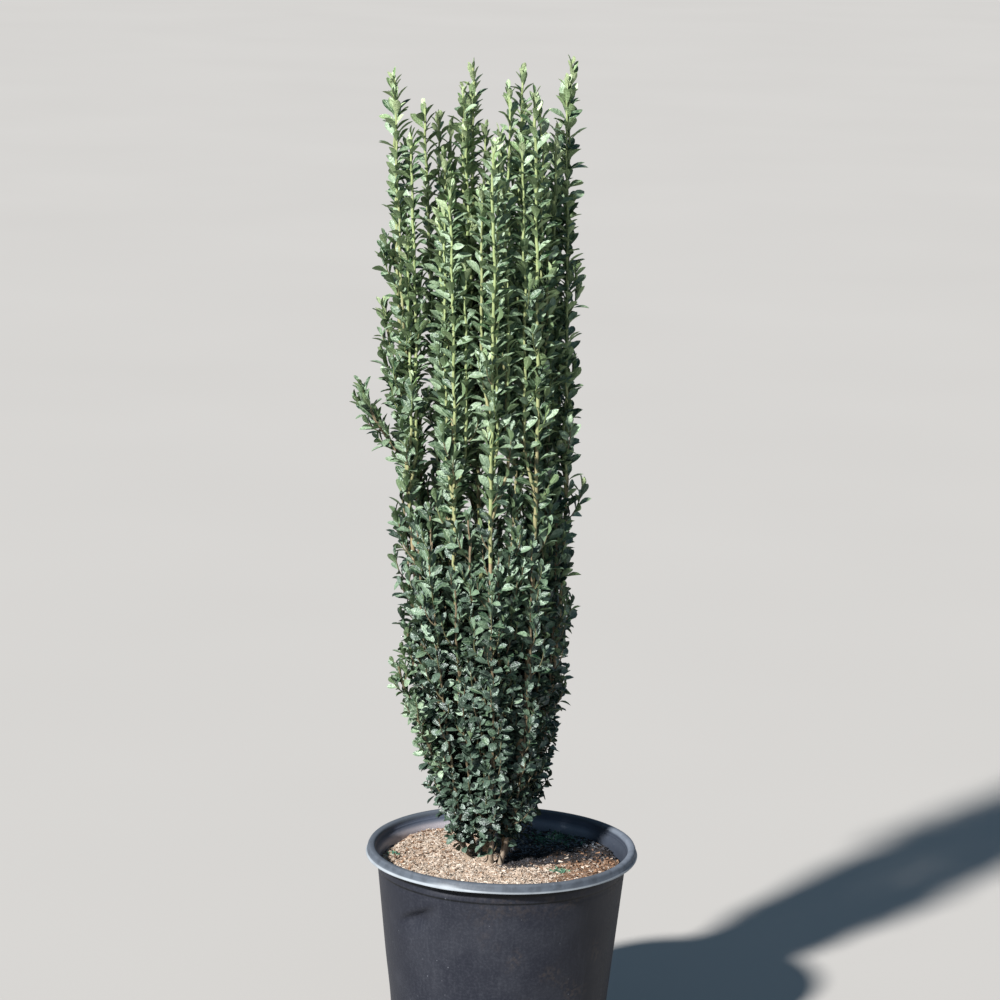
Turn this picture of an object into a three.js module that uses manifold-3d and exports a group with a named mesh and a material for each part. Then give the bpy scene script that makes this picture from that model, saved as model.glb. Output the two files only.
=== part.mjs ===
// A columnar Japanese holly in a nursery pot: a clump of upright stems that rises out of the potting mix
// and carries its leaves on long, nearly vertical shoots. Lengths are in millimetres and +Z is up. The
// origin is the centre of the pot's flat underside, +X runs to the right of the plant's front, and +Y runs
// to its back.
import * as THREE from 'three';
import { ConvexGeometry } from 'three/addons/geometries/ConvexGeometry.js';
import { mergeVertices } from 'three/addons/utils/BufferGeometryUtils.js';
import Module from 'manifold-3d';

// Driving sizes of the pot
const POT_HEIGHT = 245;
const LIP_RADIUS = 140;
const LIP_HEIGHT = 9;
const LIP_THICKNESS = 3;
const LIP_INNER_RADIUS = 130;
const LIP_ROUNDING = { outer: 3, outerDrop: 2.5, inner: 2 };
const BASE_RADIUS = 104.6;
const WALL_TAPER = 0.103;
const WALL_THICKNESS = 2.2;
const FLOOR_THICKNESS = 3;
const LEDGE_DROP = 23;
const LEDGE_DEPTH = 1;
const DRAIN_HOLES = 8;
const DRAIN_HOLE = { width: 20, height: 10, above: 5 };
const POT_SIDES = 32;

// Driving sizes of the potting mix, whose middle is level where the stems leave it. Round that its face
// swells and sinks in waves, over a width that lets them begin gently, and it drops towards the wall.
const SOIL_Z = 228;
const SOIL_LEVEL_RADIUS = 48;
const SOIL_RING = 28;
const SOIL_SWELL = { height: 2.5, waveX: 31, waveY: 27, shift: 0.6, begins: 25 };
const SOIL_EDGE = { drop: 3, width: 22, firstDrop: 0.3 };

// Driving sizes of the crown. The foot is the middle of the clump at the mix, and the lean is how far the
// crown's axis has moved at its top.
const FOOT = { x: -14, y: 2 };
const LEAN = { x: -26, y: -2 };
const CROWN_HEIGHT = 830;
const GAP = 0.3;

// How the stems spread: a share of their reach at the foot, a quick opening above it, and a slow flare to
// the top
const SPREAD = { foot: 0.22, opening: 0.61, openingHeight: 125, flare: 0.17 };

// The tall limbs. Each names where its spire ends, across, back and above the mix, and how high the bare
// limb runs before it enters the foliage. A limb that names a parent leaves that one's side at the fork
// height.
const LIMBS = [
  { name: 'left_outer', x: -127, y: -8, top: 811, bare: 352 },
  { name: 'left_inner', x: -80, y: 6, top: 737, bare: 318, parent: 'left_outer', fork: 92 },
  { name: 'front', x: -30, y: -82, top: 757, bare: 330 },
  { name: 'left_front', x: -74, y: -64, top: 712, bare: 296, parent: 'front', fork: 74 },
  { name: 'front_right', x: 16, y: -60, top: 804, bare: 344 },
  { name: 'right_outer', x: 50, y: -6, top: 832, bare: 312, parent: 'front_right', fork: 84 },
  { name: 'centre', x: -48, y: 24, top: 822, bare: 366 },
  { name: 'right_inner', x: -2, y: -12, top: 821, bare: 388, parent: 'centre', fork: 112 },
  { name: 'right_back', x: 34, y: 42, top: 762, bare: 322 },
  { name: 'back_right', x: 2, y: 74, top: 776, bare: 358, parent: 'right_back', fork: 96 },
  { name: 'back', x: -50, y: 84, top: 790, bare: 312 },
  { name: 'back_left', x: -96, y: 56, top: 778, bare: 336 },
];
const STEM = { radius: 3.3, flare: 1.7, flareHeight: 7, sides: 6, steps: 7 };
const BOUGH = { radius: 2.6, flare: 0.5, flareHeight: 7, sides: 6, steps: 5 };
const LIMB_TAPER = 0.45;
const FORK_REACH = 110;
const BOW = { width: 2.6, height: 120 };

// The foliage round the limbs' feet: the angle of each mass about the crown's axis, in degrees, the stem
// that it grows from, how high it starts and how high its tallest shoot reaches
const SKIRTS = [
  { name: 'lower_front', angle: 259, parent: 'front', start: 7, top: 385 },
  { name: 'lower_front_right', angle: 296, parent: 'front_right', start: 9, top: 408 },
  { name: 'lower_right', angle: 336, parent: 'front_right', start: 16, top: 470 },
  { name: 'lower_right_back', angle: 14, parent: 'right_back', start: 6, top: 430 },
  { name: 'lower_back', angle: 78, parent: 'back', start: 10, top: 410 },
  { name: 'lower_back_left', angle: 116, parent: 'back_left', start: 8, top: 430 },
  { name: 'lower_left', angle: 160, parent: 'left_outer', start: 11, top: 480 },
  { name: 'lower_front_left', angle: 212, parent: 'left_outer', start: 6, top: 385 },
];

// A mass's shoots end between its inner and outer distance from the crown's axis, over a sector in
// degrees. Its leader is thicker, and each further shoot leaves it a step higher and ends a step lower.
const SKIRT = { inner: 46, outer: 92, leader: 0.84, shoots: 4, sector: 36, reach: 40 };
const SKIRT_SHOOT = {
  leaderWidth: 1.25,
  strays: 5,
  first: 8,
  step: [6, 12],
  tipDrop: [10, 60],
  drop: 30,
  least: 90,
};

// Single shoots that stand out of the lower foliage. Each leaves its mass's leader, and ends at x and y.
const OUTLIERS = [
  { mass: 'lower_left', x: -164, y: -4, from: 310, top: 512 },
  { mass: 'lower_left', x: -146, y: 18, from: 350, top: 592 },
  { mass: 'lower_front_left', x: -112, y: -34, from: 110, top: 232 },
];

// Shoots, and the leaves on them. The leaves of the solids are fewer and larger than real ones, which are
// about 22 mm long.
const SHOOT = { radius: 1.5, tipRadius: 0.8, sides: 3, stepHeight: 110, reach: 70 };
const RING_CROWDING = 1.4;
const BESIDE = { away: 21, aside: 50, start: [15, 40], lowest: 90, leastDrop: 0.15 };
const SPIRE_LEAF = { length: 38, width: 20, tilt: 34, spacing: 34 };
const SKIRT_LEAF = { length: 33, width: 20, tilt: 46, spacing: 36 };
const LEAF = {
  widest: 0.56,
  tipWidth: 0.5,
  thickness: 1.3,
  arch: 0.07,
  droop: 0.3,
  roll: 0.4,
  tiltStrays: 7,
  tipZone: 60,
  tipShrink: 0.35,
  tipTilt: 14,
  tipReach: 18,
  lowest: 4,
  firstAbove: 6,
  retry: 7,
  crowdedBelow: 130,
  crowding: 0.6,
  flatBelow: 300,
  lowTilt: 70,
};
const LEAF_TURN = THREE.MathUtils.degToRad(137.5);
const TRIED_SIZES = [1, 0.7];
const TRIED_TURNS = [0, 50, -50, 100, -100, 160];
const LEAF_TRIES = TRIED_SIZES.flatMap((size) => TRIED_TURNS.map((turn) => ({ size, turn })));

// Least distances of a leaf from a limb's bark, and from the middle between two masses' shoots
const CLEAR_OF_LIMBS = 0.6;
const CLEAR_OF_NEIGHBOURS = 1.2;

const wasm = await Module();
wasm.setup();

// A repeatable stream of numbers from 0 to 1, so that the plant is the same at every build
let seed = 20117;
function random() {
  seed = (seed * 16807) % 2147483647;
  return seed / 2147483647;
}
const between = (low, high) => low + (high - low) * random();

// A closed three.js geometry as a solid that can be cut and joined
function solidOf(geometry) {
  const bare = geometry.clone();
  bare.deleteAttribute('normal');
  bare.deleteAttribute('uv');
  const merged = mergeVertices(bare, 1e-4);
  return new wasm.Manifold(
    new wasm.Mesh({
      numProp: 3,
      vertProperties: merged.attributes.position.array,
      triVerts: new Uint32Array(merged.index.array),
    }),
  );
}

// A solid as a three.js geometry that can be drawn
function geometryOf(solid) {
  const { vertProperties, triVerts } = solid.getMesh();
  const geometry = new THREE.BufferGeometry();
  geometry.setAttribute('position', new THREE.BufferAttribute(vertProperties, 3));
  geometry.setIndex(new THREE.BufferAttribute(triVerts, 1));
  geometry.computeVertexNormals();
  return geometry;
}

// The largest piece of a solid. This fills a hollow that joining has sealed, and drops a loose scrap.
function largestPiece(solid) {
  return solid.decompose().reduce((best, piece) => (piece.volume() > best.volume() ? piece : best));
}

// The pot

const wallRadius = (z) => BASE_RADIUS + WALL_TAPER * z;

function turned(profile) {
  const points = profile.map(([radius, z]) => new THREE.Vector2(radius, z));
  return new THREE.LatheGeometry(points, POT_SIDES).rotateX(Math.PI / 2);
}

function potProfile() {
  const lipUnder = POT_HEIGHT - LIP_HEIGHT;
  const ledge = POT_HEIGHT - LEDGE_DROP;
  return [
    [0, 0],
    [BASE_RADIUS, 0],
    [wallRadius(ledge) - LEDGE_DEPTH, ledge - LEDGE_DEPTH],
    [wallRadius(ledge), ledge],
    [wallRadius(lipUnder), lipUnder + LIP_THICKNESS],
    [LIP_RADIUS - LIP_THICKNESS, lipUnder + LIP_THICKNESS],
    [LIP_RADIUS - LIP_THICKNESS, lipUnder],
    [LIP_RADIUS, lipUnder],
    [LIP_RADIUS, POT_HEIGHT - LIP_ROUNDING.outerDrop],
    [LIP_RADIUS - LIP_ROUNDING.outer, POT_HEIGHT],
    [LIP_INNER_RADIUS + LIP_ROUNDING.inner, POT_HEIGHT],
    [LIP_INNER_RADIUS, POT_HEIGHT - LIP_ROUNDING.inner],
    [wallRadius(lipUnder) - WALL_THICKNESS, lipUnder],
    [wallRadius(FLOOR_THICKNESS) - WALL_THICKNESS, FLOOR_THICKNESS],
    [0, FLOOR_THICKNESS],
  ];
}

function makePot() {
  let pot = solidOf(turned(potProfile()));
  const { width, height, above } = DRAIN_HOLE;
  for (let i = 0; i < DRAIN_HOLES; i++) {
    const hole = new THREE.BoxGeometry(3 * WALL_THICKNESS, width, height);
    hole.translate(wallRadius(above) - WALL_THICKNESS / 2, 0, above + height / 2);
    hole.rotateZ(((i + 0.5) * 2 * Math.PI) / DRAIN_HOLES);
    pot = pot.subtract(solidOf(hole));
  }
  return pot;
}

// The mix fills the pot to just under its lip. Its face is level under the clump and slightly uneven
// round it.
function makePottingMix() {
  const underside = FLOOR_THICKNESS + GAP;
  const inside = (z) => wallRadius(z) - WALL_THICKNESS - 2 * GAP;
  const edge = SOIL_Z - SOIL_EDGE.drop;
  const mix = turned([
    [0, underside],
    [inside(underside), underside],
    [inside(edge), edge],
    [inside(edge) - SOIL_EDGE.width, SOIL_Z - SOIL_EDGE.firstDrop * SOIL_EDGE.drop],
    [SOIL_LEVEL_RADIUS + SOIL_RING, SOIL_Z],
    [SOIL_LEVEL_RADIUS, SOIL_Z],
    [0, SOIL_Z],
  ]);
  const position = mix.attributes.position;
  for (let i = 0; i < position.count; i++) {
    const [x, y, z] = [position.getX(i), position.getY(i), position.getZ(i)];
    const outside = Math.hypot(x, y) - SOIL_LEVEL_RADIUS;
    if (z > edge - 1 && outside > 1) {
      const wave = Math.sin(x / SOIL_SWELL.waveX + SOIL_SWELL.shift) * Math.cos(y / SOIL_SWELL.waveY);
      position.setZ(i, z + SOIL_SWELL.height * wave * Math.min(1, outside / SOIL_SWELL.begins));
    }
  }
  return solidOf(mix);
}

// The paths of limbs and shoots. Each is a function of the height above the potting mix.

const easeInOut = (t) => THREE.MathUtils.smoothstep(t, 0, 1);

function spreadAt(height) {
  const opening = SPREAD.opening * (1 - Math.exp(-height / SPREAD.openingHeight));
  return SPREAD.foot + opening + (SPREAD.flare * height) / CROWN_HEIGHT;
}

// A path that spreads out from the foot of the clump and passes through x and y at the crown's top
function pathTo(x, y, phase) {
  const reachX = x - FOOT.x - LEAN.x;
  const reachY = y - FOOT.y - LEAN.y;
  return (height) => {
    const share = height / CROWN_HEIGHT;
    const begun = Math.min(1, height / BOW.height);
    const bow = BOW.width * Math.sin(height / BOW.height + phase) * begun;
    return new THREE.Vector3(
      FOOT.x + LEAN.x * share + reachX * spreadAt(height) + bow,
      FOOT.y + LEAN.y * share + reachY * spreadAt(height) + bow * Math.cos(phase),
      SOIL_Z + height,
    );
  };
}

// A path that leaves its parent's at the fork, and joins its own within a reach above it
function forked(parent, own, fork, reach) {
  return (height) => parent(height).lerp(own(height), easeInOut((height - fork) / reach));
}

// A path that leaves its parent's slowly at first, and ends at a place of its own
function bentOut(parent, { x, y, from, top }) {
  const offset = new THREE.Vector3(x, y, SOIL_Z + top).sub(parent(top));
  return (height) => parent(height).addScaledVector(offset, ((height - from) / (top - from)) ** 2);
}

// A limb or shoot is a line of straight stretches between rings, which stand closer together near its
// foot. What grows from it starts on those stretches.
function makeLine(line) {
  const { path, from, to, steps } = line;
  const ringHeight = (i) => from + (to - from) * (i / steps) ** RING_CROWDING;
  const heights = Array.from({ length: steps + 1 }, (_, i) => ringHeight(i));
  const centres = heights.map(path);
  const at = (height) => {
    const above = heights.findIndex((ring) => ring > height);
    const i = above < 0 ? steps - 1 : Math.max(0, above - 1);
    const along = (height - heights[i]) / (heights[i + 1] - heights[i]);
    return centres[i].clone().lerp(centres[i + 1], along);
  };
  return { ...line, heights, centres, at };
}

// A line's solid: a cylinder whose rings are laid on the line's own, each as level as the cut at its foot.
// Grown, it is the space that what grows from the line or passes it has to leave free.
function lineSolid({ heights, centres, radiusAt, sides, steps }, grow = 0) {
  const geometry = new THREE.CylinderGeometry(1, 1, 1, sides, steps);
  geometry.rotateX(Math.PI / 2);
  const position = geometry.attributes.position;
  for (let i = 0; i < position.count; i++) {
    const ring = Math.round((position.getZ(i) + 0.5) * steps);
    const radius = radiusAt(heights[ring]) + grow / Math.cos(Math.PI / sides);
    const { x, y, z } = centres[ring];
    const lift = ring === 0 ? -grow : ring === steps ? grow : 0;
    position.setXYZ(i, x + radius * position.getX(i), y + radius * position.getY(i), z + lift);
  }
  return solidOf(geometry);
}

function makeLimbs() {
  const limbs = new Map();
  LIMBS.forEach((plan, index) => {
    const parent = limbs.get(plan.parent);
    const { radius, flare, flareHeight, sides, steps } = parent ? BOUGH : STEM;
    const own = pathTo(plan.x, plan.y, index);
    const path = parent ? forked(parent.at, own, plan.fork, FORK_REACH) : own;
    const from = parent ? plan.fork : GAP;
    const radiusAt = (height) => {
      const taper = 1 - (LIMB_TAPER * (height - from)) / (plan.bare - from);
      return radius * taper + flare * Math.exp((from - height) / flareHeight);
    };
    const line = makeLine({ ...plan, path, from, to: plan.bare, radiusAt, sides, steps });
    const whole = lineSolid(line);
    line.solid = parent ? largestPiece(whole.subtract(lineSolid(parent, GAP))) : whole;
    line.node = (parent ? 'bough_' : 'stem_') + plan.name;
    limbs.set(plan.name, line);
  });
  return limbs;
}

// Masses of foliage. A mass is a list of shoots, the first of which carries the others.

function makeShoot(path, from, top, radius = SHOOT.radius) {
  const to = top - LEAF.tipReach;
  const steps = Math.max(2, Math.round((to - from) / SHOOT.stepHeight));
  const radiusAt = (height) => radius + (SHOOT.tipRadius - radius) * ((height - from) / (to - from));
  return makeLine({ path, from, to, radiusAt, sides: SHOOT.sides, steps });
}

const crownAxis = new THREE.Vector2(FOOT.x + LEAN.x, FOOT.y + LEAN.y);

// A spire goes on from its limb's end. One lower shoot stands beside it, on the side of the crown's axis.
function spireMass(limb, index) {
  const leader = makeShoot(limb.path, limb.bare + GAP, limb.top, limb.radiusAt(limb.bare));
  const aside = THREE.MathUtils.degToRad(index % 2 ? BESIDE.aside : -BESIDE.aside);
  const tip = new THREE.Vector2(limb.x, limb.y);
  const inward = crownAxis.clone().sub(tip).normalize().rotateAround(new THREE.Vector2(), aside);
  tip.addScaledVector(inward, BESIDE.away * between(0.85, 1.15));
  const start = limb.bare + between(...BESIDE.start);
  const path = forked(leader.at, pathTo(tip.x, tip.y, index + 2), start, SHOOT.reach);
  const beside = makeShoot(path, start, limb.top - between(BESIDE.leastDrop, 1) * BESIDE.lowest);
  return { node: 'spire_' + limb.name, shoots: [leader, beside], leaf: SPIRE_LEAF };
}

// A skirt leaves the side of a stem low down, and its shoots fan out over a sector round the crown
function skirtMass(skirt, limbs) {
  const { inner, outer, sector, reach } = SKIRT;
  const pathInSector = (turn, away, phase) => {
    const angle = THREE.MathUtils.degToRad(skirt.angle + turn);
    return pathTo(crownAxis.x + away * Math.cos(angle), crownAxis.y + away * Math.sin(angle), phase);
  };
  const ownPath = pathInSector(0, SKIRT.leader * outer, skirt.angle);
  const leaderPath = forked(limbs.get(skirt.parent).at, ownPath, skirt.start, reach);
  const leader = makeShoot(leaderPath, skirt.start, skirt.top, SKIRT_SHOOT.leaderWidth * SHOOT.radius);
  const shoots = [leader];
  for (let i = 1; i < SKIRT.shoots; i++) {
    const share = (i - 1) / (SKIRT.shoots - 2);
    const stray = between(-SKIRT_SHOOT.strays, SKIRT_SHOOT.strays);
    const away = THREE.MathUtils.lerp(outer, inner, share * share) + stray;
    const turn = (i % 2 ? 0.5 : -0.5) * sector * between(0.5, 1) * (1 - 0.5 * share);
    const start = skirt.start + SKIRT_SHOOT.first + i * between(...SKIRT_SHOOT.step);
    const path = forked(leader.at, pathInSector(turn, away, i), start, reach);
    const top = skirt.top - between(...SKIRT_SHOOT.tipDrop) - SKIRT_SHOOT.drop * i * between(0.5, 1);
    shoots.push(makeShoot(path, start, Math.max(start + SKIRT_SHOOT.least, top)));
  }
  for (const outlier of OUTLIERS.filter(({ mass }) => mass === skirt.name)) {
    shoots.push(makeShoot(bentOut(leader.at, outlier), outlier.from, outlier.top));
  }
  return { node: skirt.name, shoots, leaf: SKIRT_LEAF };
}

// The shortest way from a point to a line
function distanceTo(line, point) {
  const nearest = new THREE.Vector3();
  const stretch = new THREE.Line3();
  let best = Infinity;
  for (let i = 0; i < line.steps; i++) {
    stretch.set(line.centres[i], line.centres[i + 1]).closestPointToPoint(point, true, nearest);
    best = Math.min(best, nearest.distanceTo(point));
  }
  return best;
}

// A leaf lies along +X with its upper face to +Y: a keeled blade that is narrow at its stalk, widest past
// its middle and blunt at its tip, and that arches over its widest line
function leafGeometry(length, width) {
  const at = (along, side, up) => new THREE.Vector3(along * length, up, (side * width) / 2);
  const crest = LEAF.arch * length;
  return new ConvexGeometry([
    at(0, 0, 0),
    at(LEAF.widest, 1, crest),
    at(LEAF.widest, -1, crest),
    at(1, LEAF.tipWidth, -LEAF.droop * crest),
    at(1, -LEAF.tipWidth, -LEAF.droop * crest),
    at(LEAF.widest, 0, crest - LEAF.thickness),
  ]);
}

// Where one leaf goes: its stalk starts on the shoot's line, and it points up and out. Young leaves near a
// shoot's end are smaller and steeper, and the leaves low on the plant lie flatter.
function placedLeaf(shoot, height, turn, kind, scale) {
  const young = 1 - easeInOut((shoot.to - height) / LEAF.tipZone);
  const low = 1 - easeInOut(height / LEAF.flatBelow);
  const size = scale * (1 - LEAF.tipShrink * young) * between(0.9, 1.1);
  const open = THREE.MathUtils.lerp(kind.tilt, LEAF.lowTilt, low);
  const stray = between(-LEAF.tiltStrays, LEAF.tiltStrays);
  const tilt = THREE.MathUtils.degToRad(THREE.MathUtils.lerp(open, LEAF.tipTilt, young) + stray);
  const geometry = leafGeometry(kind.length * size, kind.width * size);
  geometry.rotateX(between(-LEAF.roll, LEAF.roll));
  geometry.rotateZ(Math.PI / 2 - tilt);
  geometry.rotateX(Math.PI / 2);
  geometry.rotateZ(turn);
  const root = shoot.at(height);
  return geometry.translate(root.x, root.y, root.z);
}

// Points spread over a leaf: the corners, edge middles and centre of each of its faces
function pointsOver(geometry) {
  const position = geometry.attributes.position;
  const points = [];
  for (let i = 0; i < position.count; i += 3) {
    const [a, b, c] = [0, 1, 2].map((k) => new THREE.Vector3().fromBufferAttribute(position, i + k));
    const middle = a.clone().add(b).add(c).divideScalar(3);
    points.push(a, b, c, middle, a.clone().lerp(b, 0.5), b.clone().lerp(c, 0.5), c.clone().lerp(a, 0.5));
  }
  return points;
}

// A leaf's point is free where it is over the mix, touches no limb, touches no other shoot of its own mass,
// and has no other mass's shoot as near
function isFree(point, ownShoot, mass, masses, limbs) {
  if (point.z < SOIL_Z + LEAF.lowest) return false;
  const otherShoots = mass.shoots.filter((shoot) => shoot !== ownShoot);
  const others = otherShoots.map((shoot) => distanceTo(shoot, point));
  if (Math.min(...others) < SHOOT.radius) return false;
  const own = Math.min(distanceTo(ownShoot, point), ...others);
  for (const limb of limbs) {
    if (distanceTo(limb, point) < limb.radiusAt(point.z - SOIL_Z) + CLEAR_OF_LIMBS) return false;
  }
  const reach = own + 2 * CLEAR_OF_NEIGHBOURS;
  for (const other of masses) {
    if (other === mass || other.box.distanceToPoint(point) > reach) continue;
    if (other.shoots.some((shoot) => distanceTo(shoot, point) < reach)) return false;
  }
  return true;
}

// One leaf, turned and if need be made smaller until it is free. There may be no room for it.
function findLeaf(shoot, height, turn, mass, masses, limbs) {
  for (const trial of LEAF_TRIES) {
    const trialTurn = turn + THREE.MathUtils.degToRad(trial.turn);
    const geometry = placedLeaf(shoot, height, trialTurn, mass.leaf, trial.size);
    if (!pointsOver(geometry).every((point) => isFree(point, shoot, mass, masses, limbs))) continue;
    const solid = solidOf(geometry);
    const box = new THREE.Box3().setFromBufferAttribute(geometry.attributes.position);
    const meets = (other) => other.box.intersectsBox(box) && !other.solid.intersect(solid).isEmpty();
    if (!mass.leaves.some(meets)) return { solid, box };
  }
  return null;
}

// Leaves follow each other down every shoot in a spiral. Where one finds no room, the next is tried a
// little lower.
function addLeaves(mass, masses, limbs) {
  mass.leaves = [];
  let turn = between(0, 2 * Math.PI);
  for (const shoot of mass.shoots) {
    let height = shoot.to - 1;
    while (height > shoot.from + LEAF.firstAbove) {
      const leaf = findLeaf(shoot, height, turn, mass, masses, limbs);
      if (leaf) mass.leaves.push(leaf);
      turn += LEAF_TURN;
      const crowding = height < LEAF.crowdedBelow ? LEAF.crowding : 1;
      height -= leaf ? mass.leaf.spacing * crowding * between(0.85, 1.15) : LEAF.retry;
    }
  }
}

function massSolid(mass, limbs) {
  const shoots = mass.shoots.map((shoot) => lineSolid(shoot));
  const joined = wasm.Manifold.union([...shoots, ...mass.leaves.map((leaf) => leaf.solid)]);
  const cut = limbs.reduce((solid, limb) => solid.subtract(lineSolid(limb, GAP)), joined);
  return largestPiece(cut);
}

// The plant and its pot, put together

function finish(name, color, roughness) {
  return new THREE.MeshStandardMaterial({ name, color, roughness, metalness: 0 });
}
const MATERIALS = {
  pot: finish('pot', 0x3b3e46, 0.55),
  mix: finish('potting_mix', 0xb39a84, 0.95),
  bark: finish('bark', 0xa58b6c, 0.85),
  spire: finish('young_leaf', 0x4d7140, 0.45),
  skirt: finish('old_leaf', 0x2c4a33, 0.4),
};

const plant = new THREE.Group();
function addNode(name, solid, material) {
  const mesh = new THREE.Mesh(geometryOf(solid), material);
  mesh.name = name;
  plant.add(mesh);
}

addNode('pot', makePot(), MATERIALS.pot);
addNode('potting_mix', makePottingMix(), MATERIALS.mix);

const limbs = makeLimbs();
const limbList = [...limbs.values()];
limbList.forEach((limb) => addNode(limb.node, limb.solid, MATERIALS.bark));

const spires = limbList.map(spireMass);
const skirts = SKIRTS.map((skirt) => skirtMass(skirt, limbs));
const masses = [...spires, ...skirts];
for (const mass of masses) {
  mass.box = new THREE.Box3().setFromPoints(mass.shoots.flatMap((shoot) => shoot.centres));
}
for (const mass of masses) {
  addLeaves(mass, masses, limbList);
  const material = spires.includes(mass) ? MATERIALS.spire : MATERIALS.skirt;
  addNode(mass.node, massSolid(mass, limbList), material);
}

export default plant;
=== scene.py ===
from math import cos, pi, radians, sin, tau

import bmesh
import bpy
import numpy as np
from mathutils import Matrix, Vector, noise


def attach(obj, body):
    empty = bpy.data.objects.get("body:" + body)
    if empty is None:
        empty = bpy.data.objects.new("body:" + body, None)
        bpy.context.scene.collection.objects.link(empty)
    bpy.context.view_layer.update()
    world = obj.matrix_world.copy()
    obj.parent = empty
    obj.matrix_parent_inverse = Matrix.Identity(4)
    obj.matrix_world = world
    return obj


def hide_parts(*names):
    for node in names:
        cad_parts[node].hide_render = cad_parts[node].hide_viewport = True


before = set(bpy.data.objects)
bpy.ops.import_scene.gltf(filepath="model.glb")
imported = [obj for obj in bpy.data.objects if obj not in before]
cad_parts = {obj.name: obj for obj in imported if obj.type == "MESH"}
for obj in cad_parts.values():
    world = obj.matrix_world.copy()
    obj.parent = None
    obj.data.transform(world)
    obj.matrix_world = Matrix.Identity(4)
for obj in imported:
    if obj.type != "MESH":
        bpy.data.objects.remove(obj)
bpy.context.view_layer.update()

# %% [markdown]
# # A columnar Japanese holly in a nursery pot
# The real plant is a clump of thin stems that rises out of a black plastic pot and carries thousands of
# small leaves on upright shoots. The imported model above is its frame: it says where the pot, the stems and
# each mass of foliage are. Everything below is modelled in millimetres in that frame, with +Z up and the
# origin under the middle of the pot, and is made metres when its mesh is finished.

MM = 0.001
SEED = 20117
rng = np.random.default_rng(SEED)

# %% [markdown]
# ## Helpers for meshes
# Two kinds of piece are made. A single form, such as the pot, is shaped with bmesh operators and becomes a
# mesh by itself. A small thing that is repeated thousands of times, such as a leaf, is shaped once in the
# same way, read into arrays, and laid out many times over with numpy. That is far quicker than one object
# for each leaf, and it is one plain mesh in the end.


# %% Meshes from bmesh and from arrays
def placed(name, data):
    """An object of its own for a mesh, a camera or a lamp, in the scene."""
    thing = bpy.data.objects.new(name, data)
    bpy.context.scene.collection.objects.link(thing)
    return thing


def finished(mesh, name, finishes, sharp_from):
    """An object from a mesh in millimetres, smooth but for edges that turn by more than an angle."""
    mesh.transform(Matrix.Scale(MM, 4))
    for finish in finishes:
        mesh.materials.append(finish)
    mesh.polygons.foreach_set("use_smooth", np.ones(len(mesh.polygons), bool))
    mesh.set_sharp_from_angle(angle=radians(sharp_from))
    print(f"{name}: {sum(len(face.vertices) - 2 for face in mesh.polygons)} triangles")
    return placed(name, mesh)


def piece_from_bmesh(name, bm, *finishes, sharp_from=40):
    mesh = bpy.data.meshes.new(name)
    bm.to_mesh(mesh)
    bm.free()
    return finished(mesh, name, finishes, sharp_from)


def arrays_of(bm):
    """The corner points, triangles and material numbers of a small form."""
    bmesh.ops.triangulate(bm, faces=bm.faces)
    bm.verts.index_update()
    points = np.array([vertex.co for vertex in bm.verts])
    triangles = np.array([[vertex.index for vertex in face.verts] for face in bm.faces])
    slots = np.array([face.material_index for face in bm.faces])
    bm.free()
    return points, triangles, slots


def piece_from_arrays(name, points, triangles, *finishes, slots=None, marks=None, sharp_from=40):
    """A mesh from arrays. Marks are named numbers, one for each point, that a finish can read."""
    mesh = bpy.data.meshes.new(name)
    mesh.vertices.add(len(points))
    mesh.vertices.foreach_set("co", np.ascontiguousarray(points, np.float32).ravel())
    mesh.loops.add(3 * len(triangles))
    mesh.loops.foreach_set("vertex_index", np.ascontiguousarray(triangles, np.int32).ravel())
    mesh.polygons.add(len(triangles))
    mesh.polygons.foreach_set("loop_start", 3 * np.arange(len(triangles), dtype=np.int32))
    if slots is not None:
        mesh.polygons.foreach_set("material_index", np.ascontiguousarray(slots, np.int32))
    mesh.update(calc_edges=True)
    for mark, values in (marks or {}).items():
        layer = mesh.attributes.new(mark, "FLOAT", "POINT")
        layer.data.foreach_set("value", np.ascontiguousarray(values, np.float32))
    mesh.validate()
    return finished(mesh, name, finishes, sharp_from)


def repeated(form, count):
    """The triangles and material numbers of a form that is laid out a number of times."""
    points, triangles, slots = form
    shifted = triangles[None] + len(points) * np.arange(count)[:, None, None]
    return shifted.reshape(-1, 3), np.tile(slots, count)


# %% [markdown]
# ## Helpers for finishes
# A finish is a node material. Its sums are easier to read as Python than as a net of Math nodes, so a
# number that varies over a surface is wrapped in a small class whose operators add those nodes. What is the
# same all over a piece is set straight on the shader.


# %% A number on a surface
class Varying:
    """A number that varies over a surface, with the usual sums."""

    def __init__(self, finish, socket):
        self.finish = finish
        self.socket = socket

    def __add__(self, other):
        return self.finish.maths("ADD", self, other)

    def __sub__(self, other):
        return self.finish.maths("SUBTRACT", self, other)

    def __rsub__(self, other):
        return self.finish.maths("SUBTRACT", other, self)

    def __mul__(self, other):
        return self.finish.maths("MULTIPLY", self, other)

    def __pow__(self, other):
        return self.finish.maths("POWER", self, other)

    __radd__ = __add__
    __rmul__ = __mul__

    def step(self, low, high):
        """0 below low, 1 above high, and a smooth step between them."""
        return self.finish.node(
            "ShaderNodeMapRange",
            {"interpolation_type": "SMOOTHSTEP"},
            {"Value": self, "From Min": low, "From Max": high},
        )


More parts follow.
